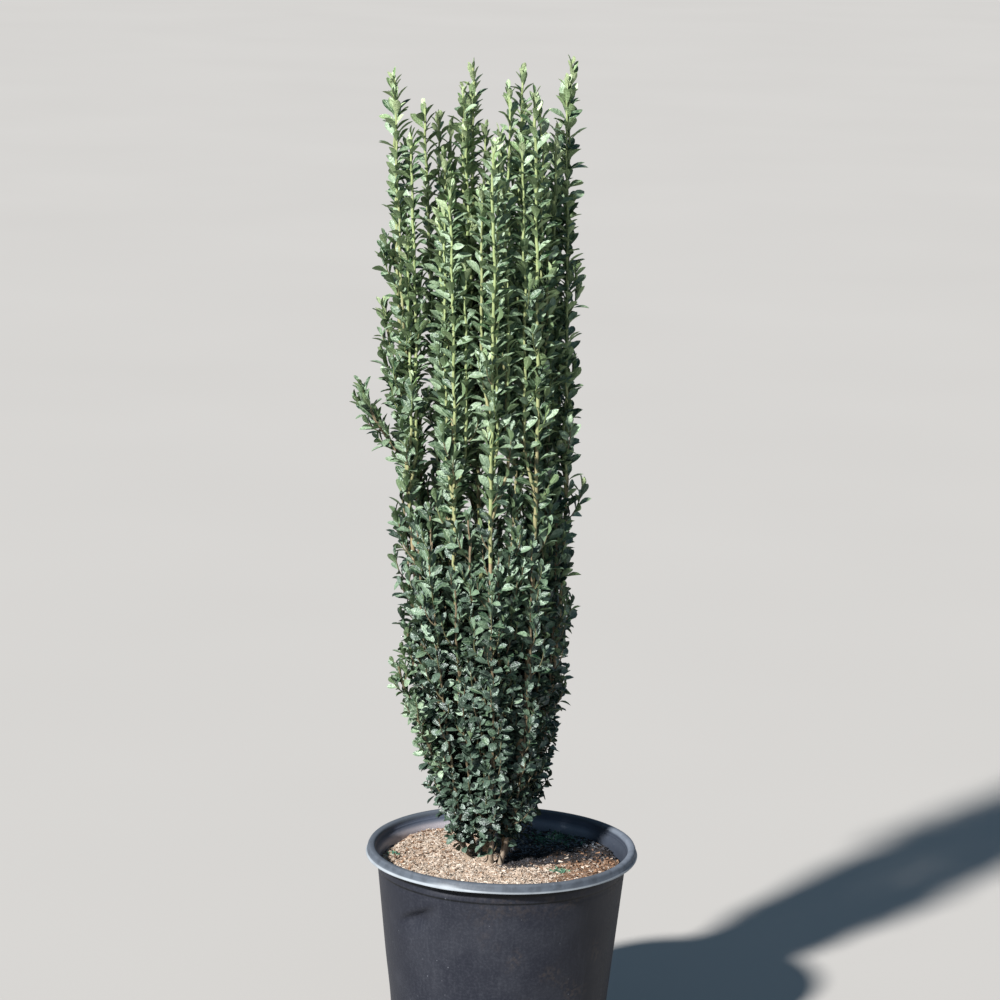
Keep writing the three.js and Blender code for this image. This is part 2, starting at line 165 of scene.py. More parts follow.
# %% A finish
class Finish:
    """A material of one principled shader, fed by what its methods add."""

    def __init__(self, name, **constants):
        self.material = bpy.data.materials.new(name)
        self.material.use_nodes = True
        self.tree = self.material.node_tree
        self.shader = self.tree.nodes["Principled BSDF"]
        for socket, value in constants.items():
            self.shader.inputs[socket.replace("_", " ")].default_value = value
        self.place = self.node("ShaderNodeTexCoord", output="Object")

    def node(self, kind, settings=(), inputs=(), output=0):
        """A node of a type: its settings, then its sockets' values or links, and one of its outputs."""
        node = self.tree.nodes.new(kind)
        for setting, value in dict(settings).items():
            if setting == "stops":
                ramp = node.color_ramp
                for _ in range(len(value) - 2):
                    ramp.elements.new(0.5)
                for element, (position, colour) in zip(ramp.elements, value):
                    element.position = position
                    element.color = (*colour, 1)
            else:
                setattr(node, setting, value)
        for socket, value in dict(inputs).items():
            if isinstance(value, Varying):
                self.tree.links.new(value.socket, node.inputs[socket])
            else:
                node.inputs[socket].default_value = value
        return Varying(self, node.outputs[output])

    def maths(self, operation, first, second):
        return self.node("ShaderNodeMath", {"operation": operation}, {0: first, 1: second})

    def parts(self, vector):
        """The three parts of a vector, across, back and up."""
        return [self.node("ShaderNodeSeparateXYZ", {}, {"Vector": vector}, output=axis) for axis in "XYZ"]

    def mark(self, name):
        return self.node("ShaderNodeAttribute", {"attribute_name": name}, output="Fac")

    def noise(self, size, detail=2, stretch=(1, 1, 1)):
        """Cloudy noise whose patches are about a size in millimetres, longer along a stretched axis."""
        inputs = {"Vector": self.place, "Scale": [1 / share for share in stretch]}
        vector = self.node("ShaderNodeMapping", {}, inputs)
        inputs = {"Vector": vector, "Scale": 1 / (size * MM), "Detail": detail}
        return self.node("ShaderNodeTexNoise", {}, inputs)

    def cells(self, size):
        """How far a point is from the middle of its cell, in cells about a size apart in millimetres."""
        return self.node("ShaderNodeTexVoronoi", {}, {"Vector": self.place, "Scale": 1 / (size * MM)})

    def mix(self, share, first, second):
        """A colour between two others."""
        inputs = {0: share}
        for socket, colour in ((6, first), (7, second)):
            inputs[socket] = colour if isinstance(colour, Varying) else (*colour, 1)
        return self.node("ShaderNodeMix", {"data_type": "RGBA"}, inputs, output=2)

    def look(self, colour, roughness, relief=None, depth=0.0):
        """Feed the shader its colour, its roughness and fine relief of a depth in millimetres."""
        fed = {"Base Color": colour, "Roughness": roughness}
        if relief is not None:
            bump = {"Height": relief, "Distance": depth * MM}
            fed["Normal"] = self.node("ShaderNodeBump", {}, bump)
        for socket, value in fed.items():
            self.tree.links.new(value.socket, self.shader.inputs[socket])
        return self.material


# %% [markdown]
# ## The camera
# The photo looks slightly down on the plant from its front, from some way off with a long lens. The camera
# was solved from the pot's rim, its upright wall and the lie of its ellipses, and turned by a small roll.

# %% Camera
CAMERA_PLACE = Vector((-0.0105, -3.567, 1.366))
CAMERA_DOWN = radians(11.99)
CAMERA_ROLL = radians(1.4)
CAMERA_LENS = 129.6
CAMERA_SENSOR = 36

camera = placed("camera", bpy.data.cameras.new("camera"))
camera.data.lens = CAMERA_LENS
camera.data.sensor_width = CAMERA_SENSOR
camera.matrix_world = (
    Matrix.Translation(CAMERA_PLACE)
    @ Matrix.Rotation(pi / 2 - CAMERA_DOWN, 4, "X")
    @ Matrix.Rotation(CAMERA_ROLL, 4, "Z")
)
bpy.context.scene.camera = camera
bpy.context.scene.view_settings.view_transform = "Standard"

# %% [markdown]
# ## The pot
# A nursery pot is blown or moulded in thin black plastic: a plain tapered wall, a shallow ledge near the
# top and a rolled lip, with drain holes round the foot. A turned form like this is a spin: one outline is
# drawn from the middle of the underside, out and up the wall, over the lip and back down inside, and is
# swept once round. More points are given where the wall is bent afterwards.

# %% The pot's sizes
POT_HEIGHT = 245
LIP_RADIUS = 140
LIP_HEIGHT = 9
LIP_THICKNESS = 3
LIP_INNER_RADIUS = 130
BASE_RADIUS = 104.6
WALL_TAPER = 0.103
WALL_THICKNESS = 2.2
FLOOR_THICKNESS = 3
LEDGE_DROP = 23
LEDGE_DEPTH = 1
POT_STEPS = 176
DRAIN_HOLES = 8
DRAIN_LOW, DRAIN_HIGH = 5, 15
DRAIN_HALF_TURN = radians(5.7)
DRAIN_OUTSIDE = 90
WALL_SPACING, FINE_SPACING, FINE_FROM = 7, 2.4, 178


def wall_radius(z):
    return BASE_RADIUS + WALL_TAPER * z


def wall_points(low, high, inset=0.0, spacing=WALL_SPACING):
    """Points up or down the wall, at even steps."""
    heights = np.linspace(low, high, max(2, round(abs(high - low) / spacing) + 1))
    return [(wall_radius(z) - inset, z) for z in heights]


# %% The pot's outline, swept round
def pot_outline():
    ledge = POT_HEIGHT - LEDGE_DROP
    under = POT_HEIGHT - LIP_HEIGHT
    tuck = under + LIP_THICKNESS
    outside = [(0, 1.5), (60, 1.5), (BASE_RADIUS - 9, 0.4), (BASE_RADIUS - 6, 0)]
    outside += [(BASE_RADIUS - 1.2, 0), (BASE_RADIUS + 0.2, 1)]
    outside += wall_points(3, DRAIN_LOW) + wall_points(DRAIN_HIGH, FINE_FROM - FINE_SPACING)
    outside += wall_points(FINE_FROM, ledge - 5, 0.0, FINE_SPACING)
    outside += [(wall_radius(ledge) - LEDGE_DEPTH, ledge - 1.2), (wall_radius(ledge) - 0.2, ledge)]
    outside += wall_points(ledge + 1, tuck - 0.8, 0.0, FINE_SPACING)
    lip = [
        (wall_radius(tuck) + 0.8, tuck),
        (LIP_RADIUS - LIP_THICKNESS - 0.4, tuck - 0.1),
        (LIP_RADIUS - LIP_THICKNESS + 0.4, under + 1),
        (LIP_RADIUS - 1.2, under),
        (LIP_RADIUS - 0.2, under + 0.2),
        (LIP_RADIUS, under + 1),
        (LIP_RADIUS - 0.5, under + 2.2),
        (LIP_RADIUS - 1.5, under + 3),
        (LIP_RADIUS - 1.9, POT_HEIGHT - 2.4),
        (LIP_RADIUS - 2.8, POT_HEIGHT - 0.7),
        (LIP_RADIUS - 4.2, POT_HEIGHT),
        (LIP_INNER_RADIUS + 2.4, POT_HEIGHT - 0.2),
        (LIP_INNER_RADIUS + 0.7, POT_HEIGHT - 1.2),
        (LIP_INNER_RADIUS, POT_HEIGHT - 3.4),
        (LIP_INNER_RADIUS - 0.6, under + 1),
    ]
    inside = wall_points(under - 1, DRAIN_HIGH, WALL_THICKNESS)
    inside += wall_points(DRAIN_LOW, FLOOR_THICKNESS + 1, WALL_THICKNESS)
    return outside + lip + inside + [(wall_radius(0) - 6, FLOOR_THICKNESS), (0, FLOOR_THICKNESS)]


def swept(outline, steps):
    """An outline of radii and heights that starts and ends on the axis, spun once round it."""
    bm = bmesh.new()
    corners = [bm.verts.new((radius, 0, z)) for radius, z in outline]
    edges = [bm.edges.new(pair) for pair in zip(corners, corners[1:])]
    bmesh.ops.spin(
        bm, geom=corners + edges, cent=(0, 0, 0), axis=(0, 0, 1), angle=tau, steps=steps, use_merge=True
    )
    bmesh.ops.remove_doubles(bm, verts=bm.verts, dist=1e-3)
    bmesh.ops.recalc_face_normals(bm, faces=bm.faces)
    return bm


# %% [markdown]
# Each drain hole is cut by taking the same few faces out of the outer and the inner wall and bridging the
# two openings, which gives the hole its rim. The pot in the photo has been knocked about: its wall is
# pushed in under the lip at the front left, and its rim isn't quite round.

# %% Drain holes, dents and warps
# Each dent: its turn about the axis, its height, its half length, its half width above and below, how far
# it is turned out of the level, and how deep it goes
DENTS = [
    (-134, 195, 22, 3.0, 14, 26, -8.5),
    (-116, 231, 40, 2.0, 5, 4, -3.4),
    (-113, 238, 22, 7, 7, 0, 1.1),
    (-88, 205, 35, 12, 12, 0, -1.2),
    (-40, 190, 40, 25, 25, 0, -1.4),
    (-62, 120, 60, 22, 30, 40, -1.6),
    (70, 150, 44, 30, 30, 0, -2.0),
    (165, 90, 46, 26, 26, 0, -1.8),
]
OUT_OF_ROUND = 0.5
RIM_WAVE = 0.5
STIFF_RADIUS = BASE_RADIUS - 20


def cut_drain_holes(bm):
    for hole in range(DRAIN_HOLES):
        middle = (hole + 0.5) * tau / DRAIN_HOLES
        towards = Vector((cos(middle), sin(middle), 0))

        def at_hole(place):
            flat = Vector((place.x, place.y, 0))
            in_wall = flat.length > DRAIN_OUTSIDE and DRAIN_LOW < place.z < DRAIN_HIGH
            return in_wall and flat.angle(towards) < DRAIN_HALF_TURN

        taken = [face for face in bm.faces if at_hole(face.calc_center_median())]
        bmesh.ops.delete(bm, geom=taken, context="FACES")
        rims = [edge for edge in bm.edges if edge.is_boundary]
        bmesh.ops.bridge_loops(bm, edges=rims)


def knock_about(bm):
    """Push the wall in at each dent, and bend the rim out of round and out of level."""
    for vertex in bm.verts:
        x, y, z = vertex.co
        radius = (x * x + y * y) ** 0.5
        if radius < STIFF_RADIUS:
            continue
        turn = np.degrees(np.arctan2(y, x))
        push = OUT_OF_ROUND * sin(2 * radians(turn) + 0.8) * z / POT_HEIGHT
        for dent_turn, dent_z, half_length, above, below, slant, depth in DENTS:
            level = radians((turn - dent_turn + 180) % 360 - 180) * radius
            along = level * cos(radians(slant)) + (z - dent_z) * sin(radians(slant))
            across = (z - dent_z) * cos(radians(slant)) - level * sin(radians(slant))
            half_width = above if across > 0 else below
            push += depth * np.exp(-((along / half_length) ** 2) - (across / half_width) ** 2)
        vertex.co.x *= 1 + push / radius
        vertex.co.y *= 1 + push / radius
        vertex.co.z += RIM_WAVE * sin(3 * radians(turn) + 1) * max(0, z / POT_HEIGHT) ** 6


# %% [markdown]
# The plastic is matt charcoal, never quite black outdoors. Dust lies on what faces up and in streaks down
# the wall, and pale flecks of dried splashes are scattered over it. Inside, the mix has left its dust on
# the wall. The inner wall is also painted lighter as sheen and fill light, most on the left, and darker at
# the far right as painted shade. The rim is paler with wear and a painted highlight, and lighter still on
# the right as painted light. A painted highlight runs along the lip's lower edge. A warm patch on the right
# is earth and a painted reflection of the ground. A painted shadow lies under the lip, and painted shade
# lies in the ledge's groove. Each of these is a mask, a number between 0 and 1, that mixes one more colour
# over those below it. Some masks are noise, some are steps over the height or the place across, and the
# flecks are the middles of small cells, kept only where another noise is high.

# %% The pot's finish
PLASTIC = (0.0130, 0.0152, 0.0238)
PLASTIC_WORN = (0.018, 0.0205, 0.0305)
# Inside the pot: the upper wall is lightened as a painted sheen, and the dust band low on the wall is
# lighter still as painted fill light, palest on the left. The far right is darkened as painted shade.
INSIDE_PAINTED_SHADE = (0.018, 0.023, 0.034)
INSIDE_SHADED = (0.080, 0.100, 0.145)
INSIDE_DUST_AND_FILL = (0.265, 0.305, 0.385)
INSIDE_PALE_FILL = (0.47, 0.45, 0.50)
# The rim: paler with wear and a painted highlight, and lighter still on the right as painted light
RIM_WEAR_AND_HIGHLIGHT = (0.078, 0.095, 0.120)
RIM_PAINTED_LIGHT = (0.150, 0.177, 0.222)
# Painted highlight: a bright line along the lip's lower edge
LIP_EDGE_HIGHLIGHT = (0.34, 0.38, 0.42)
DUST = (0.22, 0.235, 0.27)
# Painted shade: near black, laid under the lip and in the ledge's groove
PAINTED_SHADE = (0.003, 0.004, 0.006)
# A warm patch on the right, partly earth and partly a painted reflection of the ground
EARTH_AND_REFLECTION = (0.075, 0.058, 0.048)

# Heights, ways out from the axis and places across, in metres, between which a mask comes on
RIM_FROM, INNER_RIM_FROM, LIP_EDGE_FROM = (0.2345, 0.2375), (0.2430, 0.2405), (0.1387, 0.1398)
UNDER_LIP_FROM, GROOVE_FROM, GROOVE_TO = (0.2265, 0.2310), (0.2200, 0.2206), (0.2226, 0.2220)
DUST_LINE, PALE_FILL_LEFT, WARM_PATCH_RIGHT = (0.2375, 0.2310), (0.03, -0.03), (-0.06, 0.05)
PAINTED_SHADE_RIGHT, PAINTED_LIGHT_RIM_RIGHT = (0.085, 0.110), (0.10, 0.13)

pot_finish = Finish("dusty_black_plastic", Specular_IOR_Level=0.22)
wear = pot_finish.noise(2.6, 4).step(0.40, 0.75)
smudges = pot_finish.noise(46, 3).step(0.42, 0.68)
streaks = pot_finish.noise(4, 3, stretch=(1, 1, 9)).step(0.5, 0.8)
grit = pot_finish.noise(1.1, 2)
flecks = (1 - pot_finish.cells(9).step(0.05, 0.09)) * pot_finish.noise(30, 1).step(0.5, 0.56)
normal = pot_finish.node("ShaderNodeNewGeometry", output="Normal")
normal_x, normal_y, normal_z = pot_finish.parts(normal)
across, back, height = pot_finish.parts(pot_finish.place)
out_from_axis = (across * across + back * back) ** 0.5
inside = (normal_x * across + normal_y * back).step(0.02, -0.02)
at_rim = height.step(*RIM_FROM) * (1 - inside * height.step(*INNER_RIM_FROM))
# A painted highlight along the lip's outer lower edge
lip_edge_highlight = out_from_axis.step(*LIP_EDGE_FROM) * (0.5 + pot_finish.noise(20, 4) * 0.8)
dusty = (streaks * 0.03 + wear * 0.02 + smudges * 0.035 + normal_z.step(0.3, 1.0) * 0.14) * (0.5 + grit)
dusty = dusty + flecks * 0.4
# Inside: dust low on the wall, lightened further as painted fill light, and the far right darkened as
# painted shade
low_dust_and_fill = height.step(*DUST_LINE) * (0.6 + grit * 0.7)
painted_shade_right = across.step(*PAINTED_SHADE_RIGHT)
inside_dust_and_fill = pot_finish.mix(across.step(*PALE_FILL_LEFT), INSIDE_DUST_AND_FILL, INSIDE_PALE_FILL)
inner = pot_finish.mix(low_dust_and_fill * (1 - painted_shade_right * 0.85), INSIDE_SHADED, inside_dust_and_fill)
inner = pot_finish.mix(painted_shade_right * 0.8, inner, INSIDE_PAINTED_SHADE)
plastic = pot_finish.mix(inside, pot_finish.mix(wear, PLASTIC, PLASTIC_WORN), inner)
outside = 1 - inside
# Painted shadow under the lip and painted shade in the ledge's groove, both mixed to near black below
under_lip_shadow = height.step(*UNDER_LIP_FROM)
groove_shade = height.step(*GROOVE_FROM) * height.step(*GROOVE_TO) * (0.4 + grit)
# Earth and a painted reflection of the warm ground, on the right of the pot
earth_and_reflection = pot_finish.noise(52, 3).step(0.52, 0.68) * pot_finish.noise(5, 4).step(0.42, 0.62)
earth_and_reflection = earth_and_reflection * across.step(*WARM_PATCH_RIGHT)
plastic = pot_finish.mix(earth_and_reflection * 0.4, plastic, EARTH_AND_REFLECTION)
plastic = pot_finish.mix(outside * (under_lip_shadow * 0.95 + groove_shade * 1.2).step(0, 1), plastic, PAINTED_SHADE)
# The rim is paler in patches, partly wear and partly a painted highlight, and lighter on the right as
# painted light
rim_patches = 0.7 + pot_finish.noise(9, 4).step(0.3, 0.65) * 0.4
rim_wear_and_light = pot_finish.mix(across.step(*PAINTED_LIGHT_RIM_RIGHT), RIM_WEAR_AND_HIGHLIGHT, RIM_PAINTED_LIGHT)
plastic = pot_finish.mix(at_rim * rim_patches, plastic, rim_wear_and_light)
plastic = pot_finish.mix(lip_edge_highlight, plastic, LIP_EDGE_HIGHLIGHT)
plastic = pot_finish.mix(dusty, plastic, DUST)
pot_finish.look(plastic, 0.50 + wear * 0.12 + dusty * 0.5, grit * 0.5 + streaks * 0.5, 0.12)

bm = swept(pot_outline(), POT_STEPS)
cut_drain_holes(bm)
knock_about(bm)
pot = piece_from_bmesh("pot_shell", bm, pot_finish.material, sharp_from=50)

# %% [markdown]
# ## The potting mix
# The pot is filled with a loose mix of shredded bark and husk that has dried out pale on top. Its body is a
# spin like the pot's, with many rings on top, which are then lifted by noise in three sizes. The crumbs on
# it are slivers, laid in their thousands on the same bumps.

# %% The mix's face
SOIL_Z = 228
SOIL_LEVEL_RADIUS = 48
SOIL_SWELL, SWELL_ACROSS, SWELL_BACK = 2.5, 31, 27
SOIL_EDGE_DROP = 3
SOIL_BLEND = 25
SOIL_STEPS = 200
SOIL_RINGS = 72
SOIL_GAP = 1.4
SOIL_SHOULDER, SOIL_INSET = 12, 7

# Each size of lump: how wide, how high, and at which level the noise is read
LUMPS = [(13, 2.8, 0.3), (5, 1.7, 4.1)]
CRUMB_RELIEF = (2.1, 1.3, 9.7)
soil_radius = wall_radius(SOIL_Z - SOIL_EDGE_DROP) - WALL_THICKNESS - SOIL_GAP


def noisy_lump(x, y, width, height, level):
    return noise.noise((x / width, y / width, level)) * height


def soil_height(x, y):
    """How high the mix lies at a place: swells and lumps, level at the stems and lower at the edge."""
    away = (x * x + y * y) ** 0.5
    swell = sin(x / SWELL_ACROSS + 0.6) * cos(y / SWELL_BACK)
    swell *= min(1, max(0, away - SOIL_LEVEL_RADIUS) / SOIL_BLEND)
    lumps = sum(noisy_lump(x, y, *shape) for shape in LUMPS)
    edge = SOIL_EDGE_DROP * min(1, max(0, away - soil_radius + SOIL_BLEND) / SOIL_BLEND) ** 2
    return SOIL_Z + SOIL_SWELL * swell + lumps - edge


def soil_body():
    foot = FLOOR_THICKNESS + 0.3
    radii = np.linspace(soil_radius, 0, SOIL_RINGS)
    shoulder = SOIL_Z - SOIL_SHOULDER
    outline = [(0, foot), (wall_radius(foot) - WALL_THICKNESS - SOIL_GAP, foot)]
    outline += [(wall_radius(shoulder) - WALL_THICKNESS - SOIL_INSET, shoulder - 4)]
    outline += [(soil_radius - 1.5, shoulder)]
    outline += [(radius, SOIL_Z) for radius in radii]
    bm = swept(outline, SOIL_STEPS)
    for vertex in bm.verts:
        if vertex.co.z > shoulder + 1:
            x, y = vertex.co.xy
            vertex.co.z = soil_height(x, y) + noisy_lump(x, y, *CRUMB_RELIEF)
    return bm


# %% [markdown]
# The mix's colour runs from pale husk to rusty bark and dark peat between the crumbs. Ramps of noise give
# those three, and the peat shows where a finer noise is low, as if in the gaps. The plant's shadow is
# painted on the mix as dark peat, over the side behind a line from its foot to the right of the pot. Deep in
# the pot, where it shows through the drain holes, it is dark all round.

# %% The mix's finish
HUSK = (0.53, 0.44, 0.36)
BARK_CHIP = (0.37, 0.25, 0.17)
RUST = (0.22, 0.13, 0.085)
PEAT = (0.040, 0.032, 0.027)
# Dark peat that is painted as the plant's shadow on the mix, and also laid deep in the pot
SHADOW_AND_DEEP_PEAT = (0.022, 0.020, 0.021)
SHADOW_SLOPE, SHADOW_SHIFT, SHADOW_BLEND = 0.47, 41, 9
SHADOW_RIGHT, RUSTY_RIGHT, DARKER_DEEP = (-0.015, 0.015), (0.01, 0.07), (0.20, 0.15)

mix_finish = Finish("dry_bark_mix", Specular_IOR_Level=0.2)
patches = mix_finish.noise(16, 3).step(0.4, 0.65)
crumbs = mix_finish.noise(1.6, 3)
ground = mix_finish.mix(patches * 0.8, HUSK, BARK_CHIP)
across, back, height = mix_finish.parts(mix_finish.place)
# The plant's painted shadow: the side behind a wandering line from its foot towards the right
wander = (mix_finish.noise(18, 2) - 0.5) * 0.025
behind_the_line = back - across * SHADOW_SLOPE + SHADOW_SHIFT * MM + wander
painted_shadow = behind_the_line.step(0.0, SHADOW_BLEND * MM) * (across + wander).step(*SHADOW_RIGHT)
ground = mix_finish.mix(across.step(*RUSTY_RIGHT) * 0.85, ground, RUST)
ground = mix_finish.mix(painted_shadow * 0.97, ground, SHADOW_AND_DEEP_PEAT)
ground = mix_finish.mix(height.step(*DARKER_DEEP), ground, SHADOW_AND_DEEP_PEAT)
ground = mix_finish.mix(crumbs.step(0.5, 0.36), ground, PEAT)
mix_finish.look(ground, 0.85 + crumbs * 0.15, crumbs, 1.0)

potting_mix = piece_from_bmesh("potting_mix_body", soil_body(), mix_finish.material, sharp_from=180)

# %% [markdown]
# Thousands of crumbs lie on the mix. A crumb is a small wedge, thinner at one end, so that it reads as a
# torn chip from any side. The one wedge is scattered with numpy: each copy gets a size, a place on the mix
# and three axes of its own, which are almost level.


# %% One crumb, scattered
LONGEST_CRUMB = 1.9


def smooth_step(share):
    share = np.clip(share, 0, 1)
    return share * share * (3 - 2 * share)


def between(value, low, high):
    """0 below low, 1 above high, and a smooth step between them."""
    return smooth_step((value - low) / (high - low))


def sliver_form():
    """A wedge of length 1: a three-sided cone, cut off and laid down."""
    bm = bmesh.new()
    bmesh.ops.create_cone(bm, cap_ends=True, segments=3, radius1=0.5, radius2=0.22, depth=1)
    bmesh.ops.rotate(bm, verts=bm.verts, cent=(0, 0, 0), matrix=Matrix.Rotation(pi / 2, 3, "Y"))
    return arrays_of(bm)


def turned_axes(count, tilt):
    """Random frames that lie nearly flat: along, across and up, one set for each crumb."""
    turn = rng.uniform(0, tau, count)
    along = np.stack([np.cos(turn), np.sin(turn), rng.normal(0, tilt, count)], 1)
    along /= np.linalg.norm(along, axis=1)[:, None]
    up = np.stack([rng.normal(0, tilt, count), rng.normal(0, tilt, count), np.ones(count)], 1)
    across = np.cross(up, along)
    across /= np.linalg.norm(across, axis=1)[:, None]
    return np.stack([along, across, np.cross(along, across)], 1)


def scattered(places, sizes, tilt):
    """Slivers of given sizes at places on the mix."""
    form = sliver_form()
    axes = turned_axes(len(places), tilt) * sizes[:, :, None]
    heights = np.array([soil_height(x, y) for x, y in places])
    middles = np.column_stack([places, heights + 0.35 * sizes[:, 2]])
    points = np.einsum("vk,nkc->nvc", form[0], axes) + middles[:, None]
    return points.reshape(-1, 3), repeated(form, len(places))[0]


def over_the_mix(count):
    radius = soil_radius * np.sqrt(rng.uniform(0, 1, count)) - 1.5
    turn = rng.uniform(0, tau, count)
    return np.stack([radius * np.cos(turn), radius * np.sin(turn)], 1)


def crumb_sizes(count, length):
    """Lengths, widths and thicknesses of slivers, most of them small."""
    lengths = length * np.minimum(LONGEST_CRUMB, rng.lognormal(0, 0.38, count))
    widths = lengths * rng.uniform(0.28, 0.62, count)
    return np.stack([lengths, widths, lengths * rng.uniform(0.2, 0.5, count)], 1)


def crumb_finish(name, light, dark):
    finish = Finish(name, Specular_IOR_Level=0.2)
    tone = finish.noise(5, 2).step(0.3, 0.7)
    return finish.look(finish.mix(tone, light, dark), 0.8 + tone * 0.15, finish.noise(0.6, 2), 0.2)


# %% [markdown]
# Five kinds of crumb lie mixed: pale husk, tan husk, rusty bark, of which there is most at the right of the
# pot and some at the left, and, in the plant's painted shadow on the mix, crumbs painted dark near its edge
# and blue grey as painted shade further in.
# Crumbs of each kind are drawn for the whole mix, and only a share of them is kept, which depends on the
# place. A little moss grows in three places.

# %% Crumbs and moss
# Each kind: how many are drawn, their length, and a light and a dark colour
CRUMBS = {
    "husk_pale": (8200, 2.45, (0.68, 0.61, 0.53), (0.48, 0.41, 0.35)),
    "husk_tan": (7200, 2.6, (0.50, 0.40, 0.32), (0.31, 0.24, 0.185)),
    "bark_rust": (4600, 3.1, (0.35, 0.21, 0.13), (0.09, 0.055, 0.04)),
    # Painted shadow and shade: dark crumbs along the edge of the plant's painted shadow, blue grey ones
    # deeper in it
    "damp_peat": (5200, 3.2, (0.070, 0.070, 0.080), (0.016, 0.016, 0.019)),
    "moist_bark": (5200, 3.2, (0.19, 0.22, 0.26), (0.030, 0.034, 0.042)),
}

# Where crumbs change from one kind to the next, in millimetres across and back
SHADOW_SCATTER = 4
SHADOW_ACROSS, RUSTY_ACROSS, RUSTY_LEFT, SHADED_BACK = (-12, 12), (20, 80), (38, 83), (38, 54)
RUSTY_LEFT_SHARE = 0.45

# Each patch of moss: across, back and how far it spreads, which also says how much there is
MOSS = [(62, -33, 8), (54, 82, 24), (-112, 12, 5)]
MOSS_DENSITY, MOSS_LENGTH = 24, 2.6
CRUMB_TILT, MOSS_TILT = 0.3, 0.8


def crumb_piece(name, finish_name, places, length, tilt, light, dark):
    points, triangles = scattered(places, crumb_sizes(len(places), length), tilt)
    return piece_from_arrays(name, points, triangles, crumb_finish(finish_name, light, dark), sharp_from=20)


soil_pieces = [potting_mix]
for name, (count, length, light, dark) in CRUMBS.items():
    places = over_the_mix(count)
    across, back = places.T
    behind_the_line = back - SHADOW_SLOPE * across + SHADOW_SHIFT
    painted_shadow = between(behind_the_line + rng.normal(0, SHADOW_SCATTER, count), 0, SHADOW_BLEND)
    painted_shadow *= between(across, *SHADOW_ACROSS)
    rusty = between(across, *RUSTY_ACROSS)
    rusty += RUSTY_LEFT_SHARE * between(0.5 * back - across, *RUSTY_LEFT)
    shaded = between(behind_the_line, *SHADED_BACK)
    shares = {
        "bark_rust": (0.10 + 0.85 * rusty) * (1 - 0.9 * painted_shadow),
        "damp_peat": painted_shadow * (1 - shaded),
        "moist_bark": painted_shadow * shaded,
    }
    kept = shares.get(name, (1 - 0.97 * painted_shadow) * (1 - 0.85 * rusty))
    places = places[rng.uniform(0, 1, count) < kept]
    soil_pieces.append(crumb_piece(name + "_crumbs", name, places, length, CRUMB_TILT, light, dark))

tufts = [rng.normal(0, spread / 2, (MOSS_DENSITY * spread, 2)) + (x, y) for x, y, spread in MOSS]
moss_colours = (0.15, 0.29, 0.19), (0.045, 0.13, 0.095)
moss = crumb_piece("moss_tufts", "moss", np.concatenate(tufts), MOSS_LENGTH, MOSS_TILT, *moss_colours)
soil_pieces.append(moss)

# %% [markdown]
# ## The plant's lines
# Every stem, shoot and twig is a line that knows its middle points and its thickness. The main ones follow
# the rule of the solids: they spread out of one foot, quickly at first, and pass through a named place at
# the top of the crown. The solids' own random stream is used again for these, so that each shoot here runs
# where its solid does.

# %% The clump's plan
FOOT = np.array([-14, 2])
LEAN = np.array([-26, -2])
CROWN_HEIGHT = 830
GAP = 0.3
SPREAD_FOOT, SPREAD_OPENING, SPREAD_OPENING_HEIGHT, SPREAD_FLARE = 0.22, 0.61, 125, 0.17
BOW_WIDTH, BOW_HEIGHT = 2.6, 120
FORK_REACH = 110

# Each limb: where its spire ends, across, back and above the mix; how high it runs bare; the limb that it
# leaves, if any, and how high
LIMBS = {
    "left_outer": (-127, -8, 811, 352),
    "left_inner": (-80, 6, 737, 318, "left_outer", 92),
    "front": (-30, -82, 757, 330),
    "left_front": (-74, -64, 712, 296, "front", 74),
    "front_right": (16, -60, 804, 344),
    "right_outer": (50, -6, 832, 312, "front_right", 84),
    "centre": (-48, 24, 822, 366),
    "right_inner": (-2, -12, 821, 388, "centre", 112),
    "right_back": (34, 42, 762, 322),
    "back_right": (2, 74, 776, 358, "right_back", 96),
    "back": (-50, 84, 790, 312),
    "back_left": (-96, 56, 778, 336),
}

# Each skirt of low foliage: its angle about the crown's axis, the stem it leaves, its start and its top
SKIRTS = {
    "lower_front": (259, "front", 7, 385),
    "lower_front_right": (296, "front_right", 9, 408),
    "lower_right": (336, "front_right", 16, 470),
    "lower_right_back": (14, "right_back", 6, 430),
    "lower_back": (78, "back", 10, 410),
    "lower_back_left": (116, "back_left", 8, 430),
    "lower_left": (160, "left_outer", 11, 480),
    "lower_front_left": (212, "left_outer", 6, 385),
}

# Each shoot that stands out of the crown: its skirt, its end's place across and back, and its foot and end
# above the mix
OUTLIERS = [
    ("lower_left", -153, -4, 368, 499),
    ("lower_left", -131, 18, 330, 582),
    ("lower_left", -101, -14, 70, 250),
    ("lower_front_left", -110, -38, 84, 222),
    ("lower_front_left", -92, -58, 50, 190),
]

# %% [markdown]
# A path is a function that gives a place for every height above the mix. Two paths can be blended, and that
# is how a bough leaves a stem, and a shoot another shoot: it follows the parent's path up to the fork and
# joins its own within a reach above it. Because the heights can be one number or a whole array, a path is
# also a quick way to get all of a line's points at once.

# %% Paths over the height above the mix
stream = SEED


def drawn(low, high):
    """The next number of the solids' own random stream."""
    global stream
    stream = stream * 16807 % 2147483647
    return low + (high - low) * stream / 2147483647


def spread_at(height):
    opening = SPREAD_OPENING * (1 - np.exp(-height / SPREAD_OPENING_HEIGHT))
    return SPREAD_FOOT + opening + SPREAD_FLARE * height / CROWN_HEIGHT


